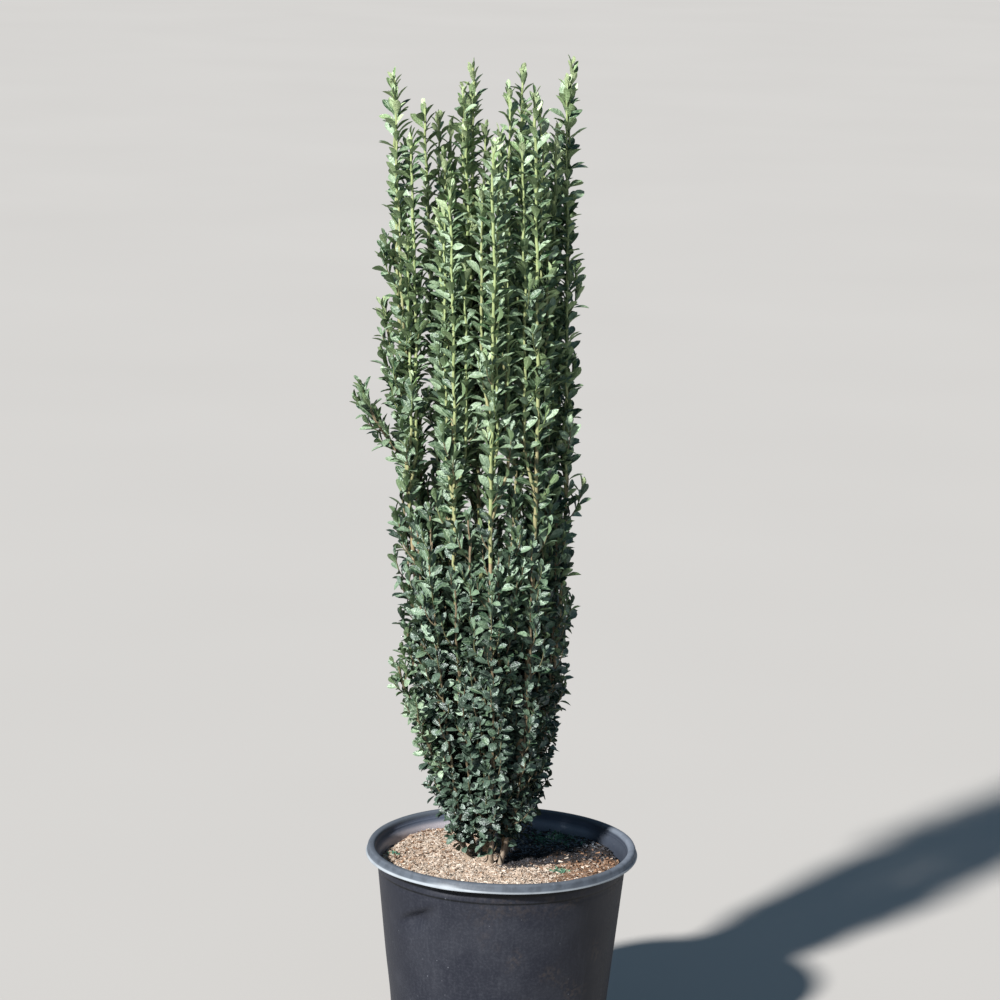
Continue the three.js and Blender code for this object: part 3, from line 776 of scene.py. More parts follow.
def path_to(x, y, phase):
    """A path that spreads out from the clump's foot and passes through x and y at the crown's top."""
    reach = np.array([x, y]) - FOOT - LEAN

    def path(height):
        height = np.asarray(height, float)
        bow = BOW_WIDTH * np.sin(height / BOW_HEIGHT + phase) * np.minimum(1, height / BOW_HEIGHT)
        flat = FOOT + LEAN * (height / CROWN_HEIGHT)[..., None] + reach * spread_at(height)[..., None]
        flat = flat + bow[..., None] * np.array([1, cos(phase)])
        return np.concatenate([flat, (SOIL_Z + height)[..., None]], -1)

    return path


def forked(parent, own, fork, reach):
    """A path that leaves its parent's at the fork and joins its own within a reach above it."""

    def path(height):
        share = smooth_step((np.asarray(height, float) - fork) / reach)[..., None]
        return parent(height) * (1 - share) + own(height) * share

    return path


def bent_out(parent, x, y, start, top):
    """A path that swings out of its parent's, ends at a place of its own and is upright again there."""
    offset = np.array([x, y, SOIL_Z + top]) - parent(top)

    def path(height):
        return parent(height) + offset * between(np.asarray(height, float), start, top)[..., None]

    return path


# %% Lines
DIRECTION_REACH = 4


class Line:
    """The middle points and radii of a stem, shoot or twig, from its foot to its tip, in millimetres."""

    def __init__(self, middles, radii, **facts):
        self.middles = middles
        self.radii = radii
        self.along = np.concatenate([[0], np.cumsum(np.linalg.norm(np.diff(middles, axis=0), axis=1))])
        self.length = self.along[-1]
        self.facts = facts

    def middle(self, along):
        return np.array([np.interp(along, self.along, column) for column in self.middles.T])

    def at(self, along):
        """Middle, direction and radius at some way along the line."""
        way = self.middle(along + DIRECTION_REACH) - self.middle(along - DIRECTION_REACH)
        return self.middle(along), way / np.linalg.norm(way), np.interp(along, self.along, self.radii)


def around(direction, turn):
    """The way out of a line at a turn round it."""
    first = np.cross([0, 1, 0], direction)
    first /= np.linalg.norm(first)
    return cos(turn) * first + sin(turn) * np.cross(direction, first)


# %% [markdown]
# A limb is thickest at its foot, where it flares, and tapers evenly up to the height where its spire of
# foliage begins. The boughs are a little thinner than the stems that they leave.

# %% Stems and boughs
STEM_RADIUS, STEM_FLARE, BOUGH_RADIUS, BOUGH_FLARE = 3.0, 1.2, 2.5, 0.5
FLARE_HEIGHT, LIMB_TAPER = 7, 0.36
LIMB_SPACING = 3


def limb_radius(height, start, bare, radius, flare):
    taper = 1 - LIMB_TAPER * (height - start) / (bare - start)
    return radius * taper + flare * np.exp((start - height) / FLARE_HEIGHT)


limbs = {}
for index, (name, (x, y, top, bare, *fork)) in enumerate(LIMBS.items()):
    path = path_to(x, y, index)
    start, radius, flare = GAP, STEM_RADIUS, STEM_FLARE
    if fork:
        parent, start = fork
        path = forked(limbs[parent].facts["path"], path, start, FORK_REACH)
        radius, flare = BOUGH_RADIUS, BOUGH_FLARE
    heights = np.linspace(start, bare, int((bare - start) / LIMB_SPACING))
    radii = limb_radius(heights, start, bare, radius, flare)
    limbs[name] = Line(path(heights), radii, path=path, start=start, bare=bare, top=top, tip=(x, y))
print(len(limbs), "stems and boughs")

# %% [markdown]
# ## Shoots
# Above the bare limbs each spire has a leader and shoots beside it. Round the foot the skirts fan out: a
# leader in the middle of a sector, and shoots to both sides of it that stand further in. A few shoots on
# the left swing out of the crown. The first shoots of each mass are the solids' own.

# %% One shoot
SHOOT_RADIUS, SHOOT_TAPER, SHOOT_TIP_REACH = 1.65, 0.4, 8
SHOOT_SPACING = 7
WANDER, WANDER_LENGTH, WANDER_RISE = 2.4, 38, 60
CROWN_AXIS = FOOT + LEAN


def shoot(path, start, top, radius=SHOOT_RADIUS, **facts):
    """A shoot up a path, which it wanders off a little: a young stem is never quite straight."""
    end = top - SHOOT_TIP_REACH
    heights = np.linspace(start, end, max(3, int((end - start) / SHOOT_SPACING)))
    radii = radius * np.linspace(1, 1 - SHOOT_TAPER, len(heights))
    middles = path(heights)
    for axis in (0, 1):
        wander = [noise.noise((middles[0, 0], h / WANDER_LENGTH, 7.3 * axis + top)) for h in heights]
        middles[:, axis] += WANDER * smooth_step((heights - start) / WANDER_RISE) * wander
    return Line(middles, radii, path=path, start=start, top=top, **facts)


# %% The shoots of the solids
BESIDE_AWAY, BESIDE_ASIDE, BESIDE_LOWEST, BESIDE_REACH = 21, 50, 90, 70
SKIRT_INNER, SKIRT_OUTER, SKIRT_SECTOR, SKIRT_REACH = 46, 92, 36, 40
SKIRT_LEADER, SKIRT_SHOOTS, SKIRT_SHORTEST = 0.84, 4, 90
SKIRT_LEADER_RADIUS, SKIRT_SHOOT_RADIUS = 0.9 * SHOOT_RADIUS, 0.78 * SHOOT_RADIUS


def beside_path(leader_path, tip, aside, away, start, phase):
    """A path beside a spire's leader, at an angle from the way to the crown's axis."""
    inward = CROWN_AXIS - np.array(tip)
    turn = np.arctan2(inward[1], inward[0]) + radians(aside)
    place = np.array(tip) + away * np.array([cos(turn), sin(turn)])
    return forked(leader_path, path_to(*place, phase), start, BESIDE_REACH)


def sector_path(angle, away, phase):
    """A path that ends at an angle about the crown's axis, some way away from it."""
    place = CROWN_AXIS + away * np.array([cos(radians(angle)), sin(radians(angle))])
    return path_to(*place, phase)


spire_shoots, skirt_shoots = [], []
for index, (name, limb) in enumerate(limbs.items()):
    path, bare, top, tip = (limb.facts[fact] for fact in ("path", "bare", "top", "tip"))
    spire_shoots.append(shoot(path, bare + GAP, top, limb.radii[-1], mass=name))
    aside = BESIDE_ASIDE if index % 2 else -BESIDE_ASIDE
    away = BESIDE_AWAY * drawn(0.85, 1.15)
    start = bare + drawn(15, 40)
    end = top - drawn(0.15, 1) * BESIDE_LOWEST
    spire_shoots.append(shoot(beside_path(path, tip, aside, away, start, index + 2), start, end, mass=name))

for name, (angle, parent, first, top) in SKIRTS.items():
    own = sector_path(angle, SKIRT_LEADER * SKIRT_OUTER, angle)
    path = forked(limbs[parent].facts["path"], own, first, SKIRT_REACH)
    leader = shoot(path, first, top, SKIRT_LEADER_RADIUS, mass=name)
    skirt_shoots.append(leader)
    for i in range(1, SKIRT_SHOOTS):
        share = (i - 1) / (SKIRT_SHOOTS - 2)
        away = SKIRT_OUTER + (SKIRT_INNER - SKIRT_OUTER) * share**2 + drawn(-5, 5)
        turn = (0.5 if i % 2 else -0.5) * SKIRT_SECTOR * drawn(0.5, 1) * (1 - 0.5 * share)
        start = first + 8 + i * drawn(6, 12)
        path = forked(leader.facts["path"], sector_path(angle + turn, away, i), start, SKIRT_REACH)
        end = max(start + SKIRT_SHORTEST, top - drawn(10, 60) - 30 * i * drawn(0.5, 1))
        skirt_shoots.append(shoot(path, start, end, SKIRT_SHOOT_RADIUS, mass=name))
    for mass, x, y, start, end in OUTLIERS:
        if mass == name:
            outlier = bent_out(leader.facts["path"], x, y, start, end)
            skirt_shoots.append(shoot(outlier, start, end, mass=name, stands_out=True))
print(len(spire_shoots), "shoots of the spires,", len(skirt_shoots), "of the skirts")

# %% [markdown]
# The solids carry only a few shoots each. The real plant has many more, so finer ones follow here, drawn
# from a second random stream. They stay within the same reach: beside a spire's leader, lower than it, and
# inside a skirt's sector.

# %% The finer shoots
FINE_BESIDE, FINE_BESIDE_RADIUS = 3, 0.85 * SHOOT_RADIUS
FINE_SKIRT, FINE_SKIRT_RADIUS = 3, 0.75 * SHOOT_RADIUS

for index, (name, limb) in enumerate(limbs.items()):
    path, bare, top, tip = (limb.facts[fact] for fact in ("path", "bare", "top", "tip"))
    for i in range(FINE_BESIDE):
        aside = (1 if (index + i) % 2 else -1) * rng.uniform(15, 95)
        start = bare + rng.uniform(20, 170)
        end = top - rng.uniform(4, 26) - 62 * i * rng.uniform(0.6, 1.2)
        own = beside_path(path, tip, aside, rng.uniform(8, 13) + 4 * i, start, index + 5 + i)
        spire_shoots.append(shoot(own, start, end, FINE_BESIDE_RADIUS, mass=name))

for name, (angle, parent, first, top) in SKIRTS.items():
    for i in range(FINE_SKIRT):
        turn = rng.uniform(-0.6, 0.6) * SKIRT_SECTOR
        start = first + rng.uniform(2, 60)
        own = sector_path(angle + turn, rng.uniform(SKIRT_INNER, SKIRT_OUTER - 4), i + 3)
        path = forked(limbs[parent].facts["path"], own, start, SKIRT_REACH)
        skirt_shoots.append(shoot(path, start, top - rng.uniform(0, 140), FINE_SKIRT_RADIUS, mass=name))
print(len(spire_shoots), "and", len(skirt_shoots), "with the finer ones")

# %% [markdown]
# ## Twigs
# Short twigs leave the shoots and the bare limbs and curve up at once. On the spires each is one turn of a
# spiral on from the last, and there are none near the tips, where the photo shows single shoots against the
# ground behind. In the dense lower part of the crown they are closer together, and grow on the outer side,
# towards the light.

# %% Side twigs
GOLDEN_TURN = radians(137.5)
TWIG_POINTS = np.linspace(0, 1, 5)
TWIG_OPEN, TWIG_RADIUS, TWIG_TIP_RADIUS = 0.42, 0.7, 0.45
LIGHT_SECTOR = 1.3


def twig(line, along, turn, length):
    """A twig that leaves a line sideways and curves up."""
    middle, direction, _ = line.at(along)
    out = around(direction, turn)
    rise = TWIG_POINTS * (0.7 + 0.3 * TWIG_POINTS)
    lean = TWIG_OPEN * (1 - (1 - TWIG_POINTS) ** 2)
    middles = middle + length * (rise[:, None] * direction + lean[:, None] * out)
    radii = np.linspace(TWIG_RADIUS, TWIG_TIP_RADIUS, len(TWIG_POINTS))
    return Line(middles, radii, mass=line.facts.get("mass"))


def outwards(place):
    """The way out of the clump's axis at a place, level."""
    away = place[:2] - FOOT - LEAN * (place[2] - SOIL_Z) / CROWN_HEIGHT
    return away / max(1, np.linalg.norm(away))


def side_twigs(line, first, last, spacing, lengths, to_the_light=False):
    """Twigs up a line between two places along it, in a spiral or all on the clump's outer side."""
    twigs = []
    along = first + rng.uniform(0, spacing)
    turn = rng.uniform(0, tau)
    while along < last:
        if to_the_light:
            away = outwards(line.at(along)[0])
            turn = np.arctan2(away[1], away[0]) + rng.uniform(-1, 1) * LIGHT_SECTOR
        twigs.append(twig(line, along, turn, rng.uniform(*lengths)))
        turn += GOLDEN_TURN + rng.uniform(-0.3, 0.3)
        along += spacing * rng.uniform(0.7, 1.3)
    return twigs


spire_twigs, skirt_twigs, limb_twigs = [], [], []
for line in spire_shoots:
    spire_twigs += side_twigs(line, 10, line.length - 160, spacing=48, lengths=(20, 42))
for line in skirt_shoots:
    if "stands_out" in line.facts:
        spire_twigs += side_twigs(line, 0.3 * line.length, line.length - 10, spacing=9, lengths=(12, 24))
    else:
        last = line.length - 36
        skirt_twigs += side_twigs(line, 8, last, spacing=23, lengths=(14, 34), to_the_light=True)
for line in limbs.values():
    limb_twigs += side_twigs(line, 12, 90, spacing=13, lengths=(10, 26), to_the_light=True)
    limb_twigs += side_twigs(line, 90, line.length, spacing=21, lengths=(18, 40))
for place, twigs in (("spires", spire_twigs), ("skirts", skirt_twigs), ("limbs", limb_twigs)):
    print(len(twigs), "twigs on the", place)

# %% [markdown]
# ## Stems with bark
# The bark of a young holly is thin and smooth, with a low ridge under each old leaf scar and fine folds
# where twigs left. Each limb is a tube of closely spaced rings. Its rings are moved in and out by noise
# that is stretched along the stem, and swell a little at scars that follow the same golden turn as leaves.

# %% Tubes
def tube_form(sides, rings):
    """A closed tube of unit size: a circle that is extruded ring by ring, with capped ends."""
    bm = bmesh.new()
    bmesh.ops.create_circle(bm, cap_ends=True, segments=sides, radius=1)
    top = list(bm.faces)
    for _ in range(rings - 1):
        extruded = bmesh.ops.extrude_face_region(bm, geom=top, use_keep_orig=len(bm.faces) == 1)
        top = [item for item in extruded["geom"] if isinstance(item, bmesh.types.BMFace)]
        moved = [item for item in extruded["geom"] if isinstance(item, bmesh.types.BMVert)]
        bmesh.ops.translate(bm, verts=moved, vec=(0, 0, 1))
    bmesh.ops.recalc_face_normals(bm, faces=bm.faces)
    return arrays_of(bm)


def tube_points(form, line, relief=None):
    """A tube's points laid along a line, with its rings level across the line."""
    points = form[0]
    ring = np.rint(points[:, 2]).astype(int)
    ways = np.gradient(line.middles, axis=0)
    ways /= np.linalg.norm(ways, axis=1)[:, None]
    first = np.cross([0.0, 1.0, 0.0], ways)
    first /= np.linalg.norm(first, axis=1)[:, None]
    second = np.cross(ways, first)
    radius = line.radii[ring]
    if relief is not None:
        radius = radius + relief(line, ring, np.arctan2(points[:, 1], points[:, 0]))
    out = points[:, 0, None] * first[ring] + points[:, 1, None] * second[ring]
    return line.middles[ring] + radius[:, None] * out


def tubes(name, lines, sides, finish, relief=None):
    """One mesh of a tube for each line."""
    forms, parts, triangles, tones, start = {}, [], [], [], 0
    for line in lines:
        rings = len(line.middles)
        if rings not in forms:
            forms[rings] = tube_form(sides, rings)
        parts.append(tube_points(forms[rings], line, relief))
        triangles.append(forms[rings][1] + start)
        tones.append(np.full(len(parts[-1]), rng.uniform()))
        start += len(parts[-1])
    marks = {"tone": np.concatenate(tones)}
    return piece_from_arrays(
        name, np.concatenate(parts), np.concatenate(triangles), finish, marks=marks, sharp_from=70
    )


# %% Bark relief
# Each set of ridges: how fine they are round the stem, how long up it, and how high
RIDGES = [(1.6, 22, 0.30), (3.6, 5, 0.16)]
SCAR_SPACING = 9
SCAR_HEIGHT, SCAR_LENGTH, SCAR_WIDTH = 0.45, 1.6, 0.7
FULL_RELIEF_RADIUS = 2.5


def bark_relief(line, ring, turn):
    """Ridges and scars on a limb, in millimetres out from its surface."""
    along = line.along[ring]
    offset = line.middles[0, 0] * 3
    ridges = np.array([
        sum(
            noise.noise((fineness * cos(t), fineness * sin(t), a / length + offset)) * height
            for fineness, length, height in RIDGES
        )
        for t, a in zip(turn, along)
    ])
    scar = np.rint(along / SCAR_SPACING)
    across = (turn - scar * GOLDEN_TURN + pi) % tau - pi
    bump = np.exp(-(((along - scar * SCAR_SPACING) / SCAR_LENGTH) ** 2) - (across / SCAR_WIDTH) ** 2)
    return (ridges + SCAR_HEIGHT * bump) * np.clip(line.radii[ring] / FULL_RELIEF_RADIUS, 0.4, 1.2)


# %% [markdown]
# The bark is tan and a little grey near the foot, and turns yellow green where the stem is young. That is a
# ramp over the height, on the object's own coordinates. Fine streaks run along the stem, and pale pores are
# scattered on it.

# %% The bark's finish
# From the foot, which is old, to the young wood above
BARK_BY_AGE = [
    (0.0, (0.36, 0.30, 0.24)),
    (0.35, (0.40, 0.29, 0.20)),
    (0.7, (0.33, 0.27, 0.15)),
    (1.0, (0.26, 0.31, 0.13)),
]
BARK_STREAK = (0.17, 0.115, 0.07)
BARK_PORE = (0.56, 0.47, 0.33)
OLD_HEIGHT, YOUNG_HEIGHT = 0.22, 0.66

bark = Finish("young_holly_bark", Specular_IOR_Level=0.35)
height = bark.parts(bark.place)[2]
streaky = bark.noise(1.2, 3, stretch=(1, 1, 9))
mottled = bark.noise(14, 2)
age = height + (mottled - 0.5) * 0.12 + (bark.mark("tone") - 0.5) * 0.3
ramp_place = {"Fac": age.step(OLD_HEIGHT, YOUNG_HEIGHT)}
bark_tint = bark.node("ShaderNodeValToRGB", {"stops": BARK_BY_AGE}, ramp_place)
pores = 1 - bark.cells(2.6).step(0.12, 0.2)
streaked = bark.mix(streaky.step(0.35, 0.6), BARK_STREAK, bark_tint)
weathered = bark.mix(0.55, bark_tint, streaked)
weathered = bark.mix(pores * 0.5, weathered, BARK_PORE)
bark.look(weathered, 0.6 + streaky * 0.25, streaky * 0.7 + pores * 0.3, 0.35)

limb_mesh = tubes("stems_and_boughs", limbs.values(), 14, bark.material, bark_relief)

# %% [markdown]
# Shoots are smooth and green when they are new, and turn tan as they age, each at its own height. Low in
# the clump little light reaches them, so they are darkened there as painted shade, and the skirts' shoots
# are given darker greens and tans than the spires' as painted shade too. Their tubes have fewer sides than
# the limbs', and swell a little where leaves sit, which gives them their slightly knotted outline.

# %% Shoots and twigs
LEAF_BASE_SWELL = 0.7
AGED_BELOW, TAN_BELOW, SHADED_BELOW = (0.95, 0.60), (0.80, 0.50), (0.62, 0.38)
SHADED_BARK = (0.11, 0.085, 0.05)


def leaf_bases(line, ring, turn):
    """Swellings where leaves sit, one a ring, each a golden turn on from the last."""
    return LEAF_BASE_SWELL * np.maximum(0, np.cos(turn - ring * GOLDEN_TURN)) ** 2


def shoot_finish(name, young, old, shaded_low=0.0):
    """Young to old bark down the shoot, dark towards the foot of the clump by a share."""
    finish = Finish(name, Specular_IOR_Level=0.4)
    tone = finish.noise(22, 2).step(0.3, 0.7) * 0.35 + finish.mark("tone").step(0.2, 0.8) * 0.65
    fine = finish.noise(1.4, 2, stretch=(1, 1, 6))
    height = finish.parts(finish.place)[2]
    aged = tone * (0.3 + height.step(*AGED_BELOW) * 0.7) + fine * 0.15 + height.step(*TAN_BELOW) * 0.35
    tint = finish.mix(aged.step(0, 1), young, old)
    tint = finish.mix(height.step(*SHADED_BELOW) * shaded_low, tint, SHADED_BARK)
    return finish.look(tint, 0.5 + fine * 0.2, fine, 0.12)


green_shoot = shoot_finish("green_shoot_bark", (0.32, 0.405, 0.18), (0.30, 0.265, 0.145))
# Darker than the spires' shoots: partly tan bark and partly painted shade of the low clump
tan_shoot = shoot_finish("tan_shoot_bark", (0.20, 0.25, 0.12), (0.22, 0.17, 0.11), 0.9)
thin_twig = shoot_finish("thin_twig_bark", (0.19, 0.26, 0.10), (0.16, 0.13, 0.08), 0.5)

spire_shoot_mesh = tubes("spire_shoots", spire_shoots, 7, green_shoot, leaf_bases)
skirt_shoot_mesh = tubes("lower_shoots", skirt_shoots, 6, tan_shoot, leaf_bases)
spire_twig_mesh = tubes("spire_twigs", spire_twigs, 4, thin_twig)
low_twig_mesh = tubes("lower_twigs", skirt_twigs + limb_twigs, 4, thin_twig)

# %% [markdown]
# ## Leaves
# A leaf of this holly is a small leathery spoon: narrow at its stalk, widest past its middle, folded a
# little along its midrib and bent back towards its tip. One grid is pinched to that outline, and a copy of
# it, turned over and with its midrib lowered, closes it from below with a paler underside. Every leaf is
# then this one form with its own length, width and bend.

# %% One leaf
LONG_LEAF_SEGMENTS, SHORT_LEAF_SEGMENTS = 5, 4
LEAF_FOLD = 0.40
LEAF_THICKNESS = 0.03
ROWS_TO_TIP, WIDEST_PAST_MIDDLE, ROUNDNESS = 1.3, 1.5, 0.7


def leaf_form(segments):
    """A leaf of length and width 1 along X, with two faces across each of its segments."""
    bm = bmesh.new()
    bmesh.ops.create_grid(bm, x_segments=segments, y_segments=2, size=0.5)
    for vertex in bm.verts:
        along = 1 - (0.5 - vertex.co.x) ** ROWS_TO_TIP
        side = 2 * vertex.co.y
        half = max(0, sin(pi * along**WIDEST_PAST_MIDDLE)) ** ROUNDNESS / 2
        vertex.co = (along, side * half, LEAF_FOLD * abs(side) * half)
    under = bmesh.ops.duplicate(bm, geom=bm.verts[:] + bm.edges[:] + bm.faces[:])["geom"]
    for item in under:
        if isinstance(item, bmesh.types.BMVert) and abs(item.co.y) < 1e-6 and 0.01 < item.co.x < 0.99:
            item.co.z -= LEAF_THICKNESS
    faces = [item for item in under if isinstance(item, bmesh.types.BMFace)]
    bmesh.ops.reverse_faces(bm, faces=faces)
    for face in faces:
        face.material_index = 1
    bmesh.ops.remove_doubles(bm, verts=bm.verts, dist=1e-4)
    return arrays_of(bm)


long_leaf, short_leaf = leaf_form(LONG_LEAF_SEGMENTS), leaf_form(SHORT_LEAF_SEGMENTS)
print("a long leaf has", len(long_leaf[1]), "triangles, a short one", len(short_leaf[1]))

# %% [markdown]
# Leaves follow each other up a shoot in a spiral, each a golden turn on from the last. They stand steeply
# on the tall shoots and lie flatter low down, where they are also shorter and rounder. Young leaves near a
# shoot's end are smaller, steeper and closer together. On the plant each stalk twists until the upper side
# of its blade faces the light, which is outwards and up, so the frame of every leaf is turned about its own
# length that way.

# %% How leaves stand
# Length, width and spacing of grown leaves low down, and how much each gains high up
LEAF_SIZES = [(12.0, 6.3), (8.0, 0.2), (3.7, 0.6)]

# The angle between leaf and shoot in degrees and how strongly a leaf turns to the light, at the foot, and
# what each loses or gains higher up
OPEN_AT_FOOT, STEEPER, OPENER = 76, 39, 2
TURN_AT_FOOT, TURN_LESS = 1.7, 0.85
FACE_OUT, FACE_UP = 0.85, 0.50

# The heights above the mix between which each of these changes
GROWING_OVER, STEEPER_OVER, OPENER_OVER, TURN_LESS_OVER = (60, 480), (0, 360), (470, 670), (180, 560)


def leaf_sizes(height):
    """Length, width and spacing of grown leaves at a height above the mix."""
    high = between(height, *GROWING_OVER)
    return [low + more * high for low, more in LEAF_SIZES]


def open_angle(height):
    return OPEN_AT_FOOT - STEEPER * between(height, *STEEPER_OVER) + OPENER * between(height, *OPENER_OVER)


def turned_to_light(way, up, place):
    """The normal of a leaf's upper side, turned about the leaf towards outwards and up, less so high up."""
    light = np.array([*(FACE_OUT * outwards(place)), FACE_UP])
    light -= (light @ way) * way
    turned = up + (TURN_AT_FOOT - TURN_LESS * between(place[2] - SOIL_Z, *TURN_LESS_OVER)) * light
    turned -= (turned @ way) * way
    return turned / np.linalg.norm(turned)


# %% [markdown]
# Leaves are set from a shoot's end down to its foot. Every number about a leaf varies a little by chance,
# within what the photo shows. A leaf that would touch the mix is left out, and so are most of those low at
# the front and right, where the photo shows the bare feet of the stems.

# %% Leaves on a line
LEAF_NEEDS = 3
FOOT_SHED, FOOT_SHED_HEIGHT, FOOT_SHED_FROM = 0.9, 70, FOOT[0] - 8
BARE_FOOT = 4

# What youth takes off a leaf's angle, size, width and spacing
YOUNG_STEEPER, YOUNG_SMALLER, YOUNG_NARROWER, YOUNG_CLOSER = 0.55, 0.36, 0.12, 0.42

# What differs by chance from leaf to leaf
ANGLE_SPREAD, ROLL_SPREAD, TURN_SPREAD, BEND_SPREAD = 13, 0.42, 0.12, 0.08
SIZE_RANGE, SPACING_RANGE = (0.74, 1.15), (0.8, 1.2)
YOUNG_BEND, GROWN_BEND = 0.06, 0.24

# One growing list of leaves for each kind
leaves = {kind: [] for kind in ("tip", "young", "grown", "old", "lower_grown", "lower_old")}


def leaves_on(line, kinds, tip_zone, youth, crowding=1.0):
    """Leaves down a line, dealt to a kind by their place and age."""
    along = line.length
    turn = rng.uniform(0, tau)
    while along > BARE_FOOT:
        middle, direction, radius = line.at(along)
        height = middle[2] - SOIL_Z
        length, width, spacing = leaf_sizes(height)
        young = 1 - smooth_step((line.length - along) / tip_zone)
        out = around(direction, turn)
        angle = radians(open_angle(height) * (1 - YOUNG_STEEPER * young) + rng.normal(0, ANGLE_SPREAD))
        way = cos(angle) * direction + sin(angle) * out
        up = turned_to_light(way, sin(angle) * direction - cos(angle) * out, middle)
        roll = rng.normal(0, ROLL_SPREAD)
        up = cos(roll) * up + sin(roll) * np.cross(way, up)
        size = (1 - YOUNG_SMALLER * young**4) * rng.uniform(*SIZE_RANGE)
        root = middle + out * radius * 0.6
        end = root + way * length * size
        low_share = 1 - height / FOOT_SHED_HEIGHT
        shed = middle[0] > FOOT_SHED_FROM and rng.uniform() < FOOT_SHED * low_share
        if not shed and root[2] > SOIL_Z + LEAF_NEEDS and end[2] > SOIL_Z + LEAF_NEEDS:
            kind = kinds(height, young * youth)
            bend = YOUNG_BEND + GROWN_BEND * (1 - young) + rng.normal(0, BEND_SPREAD)
            wide = width * size * (1 - YOUNG_NARROWER * young)
            leaves[kind].append((*root, *way, *up, length * size, wide, bend))
        turn += GOLDEN_TURN + rng.normal(0, TURN_SPREAD)
        along -= spacing * (1 - YOUNG_CLOSER * young) * rng.uniform(*SPACING_RANGE) / crowding


# %% [markdown]
# The kinds differ in colour, from the yellow green of new leaves to the blackish green of last year's. The
# borders between them are heights that are blurred by chance, so that no level line shows on the crown.

# %% Kinds of leaves
TIP_YOUTH = 0.45
YOUNG_ABOVE, GROWN_ABOVE, LOWER_GROWN_ABOVE = (560, 90), (330, 60), (250, 90)
OUTLIER_YOUNG_ABOVE = 300
SPROUT_YOUTH, SPROUT_ABOVE, SPROUT_SHARE = 0.85, 120, 0.18


def blurred(height, spread):
    return height + rng.normal(0, spread)


def spire_kind(height, young):
    if young > TIP_YOUTH:
        return "tip"
    if height > blurred(*YOUNG_ABOVE):
        return "young"
    return "grown" if height > blurred(*GROWN_ABOVE) else "old"


def outlier_kind(height, young):
    return "grown" if height < OUTLIER_YOUNG_ABOVE else spire_kind(height, young)


def skirt_kind(height, young):
    if young > SPROUT_YOUTH and height > SPROUT_ABOVE and rng.uniform() < SPROUT_SHARE:
        return "young"
    return "lower_grown" if height > blurred(*LOWER_GROWN_ABOVE) else "lower_old"


for line in spire_shoots:
    leaves_on(line, spire_kind, youth=rng.uniform(0.5, 1.3), tip_zone=rng.uniform(25, 60), crowding=1.14)
for line in spire_twigs:
    kinds = outlier_kind if line.facts["mass"] in SKIRTS else spire_kind
    leaves_on(line, kinds, youth=rng.uniform(0, 0.6), tip_zone=25)
for line in skirt_shoots:
    kinds = outlier_kind if "stands_out" in line.facts else skirt_kind
    leaves_on(line, kinds, youth=rng.uniform(0.3, 1), tip_zone=35)
for line in skirt_twigs + limb_twigs:
    leaves_on(line, skirt_kind, youth=rng.uniform(0, 0.8), tip_zone=20)
print({kind: len(rows) for kind, rows in leaves.items()})

# %% [markdown]
# The rows of numbers become meshes, one for each kind. Leaves that would cut through a bare limb are left
# out first, by testing three places along each blade against the limb's own path. Then the one form is
# stretched and bent along the axes of all the leaves at once, by multiplying its points with their rows.

# %% Leaves laid out
LEAF_TESTED_AT = (0.35, 0.7, 1.0)
LIMB_CLEARANCE = 0.3


def clear_of_limbs(rows):
    """Which leaves keep clear of every bare limb."""
    clear = np.ones(len(rows), bool)
    for share in LEAF_TESTED_AT:
        points = rows[:, :3] + share * rows[:, 9:10] * rows[:, 3:6]
        height = points[:, 2] - SOIL_Z
        for limb in limbs.values():
            start, bare = limb.facts["start"], limb.facts["bare"]
            middle = limb.facts["path"](np.clip(height, start, bare))
            away = np.linalg.norm(points[:, :2] - middle[:, :2], axis=1)
            radius = np.interp(height, limb.middles[:, 2] - SOIL_Z, limb.radii)
            near = away < radius + LIMB_CLEARANCE
            clear &= ~(near & (height > start) & (height < bare))
    return clear


def leaf_mesh(name, rows, leaf, top, under):
    """One mesh of the leaves in the rows, each with a finish for its upper side and its underside."""
    rows = rows[clear_of_limbs(rows)]
    root, along, up = rows[:, :3], rows[:, 3:6], rows[:, 6:9]
    length, width, bend = rows[:, 9], rows[:, 10], rows[:, 11]
    side = np.cross(up, along)
    form = leaf[0]
    forward, across, lift = form[:, 0], form[:, 1], form[:, 2]
    raised = width[:, None] * lift[None] - (length * bend)[:, None] * forward[None] ** 2
    points = (
        root[:, None]
        + length[:, None, None] * forward[None, :, None] * along[:, None]
        + width[:, None, None] * across[None, :, None] * side[:, None]
        + raised[:, :, None] * up[:, None]
    )
    triangles, slots = repeated(leaf, len(rows))
    tone = np.repeat(smooth_step(smooth_step(rng.uniform(0, 1, len(rows)))), len(form))
    rib = np.tile((np.abs(across) < 1e-6).astype(float), len(rows))
    marks = {"tone": tone, "rib": rib}
    return piece_from_arrays(
        name, points.reshape(-1, 3), triangles, top, under, slots=slots, marks=marks, sharp_from=60
    )


# %% [markdown]
# The leaves' finishes go from yellow green at the tips to a dark, bluish green low down. Each is a plain
# pair of greens, dealt out by the place of the spray, that a random number for each leaf and a cloudy noise
# move between. The upper side has a waxy gloss, the underside is paler and dull, partly its own colour and
# partly painted light that stands in for light through the blade, and the midrib shows as a fine pale line.

# %% The leaves' finishes
WAX_TINT = (0.90, 0.96, 1.0)
UPPER_ROUGHNESS, UNDER_ROUGHNESS, UNDER_GLOSS, UNDER_SHADE = 0.29, 0.5, 0.3, 0.7


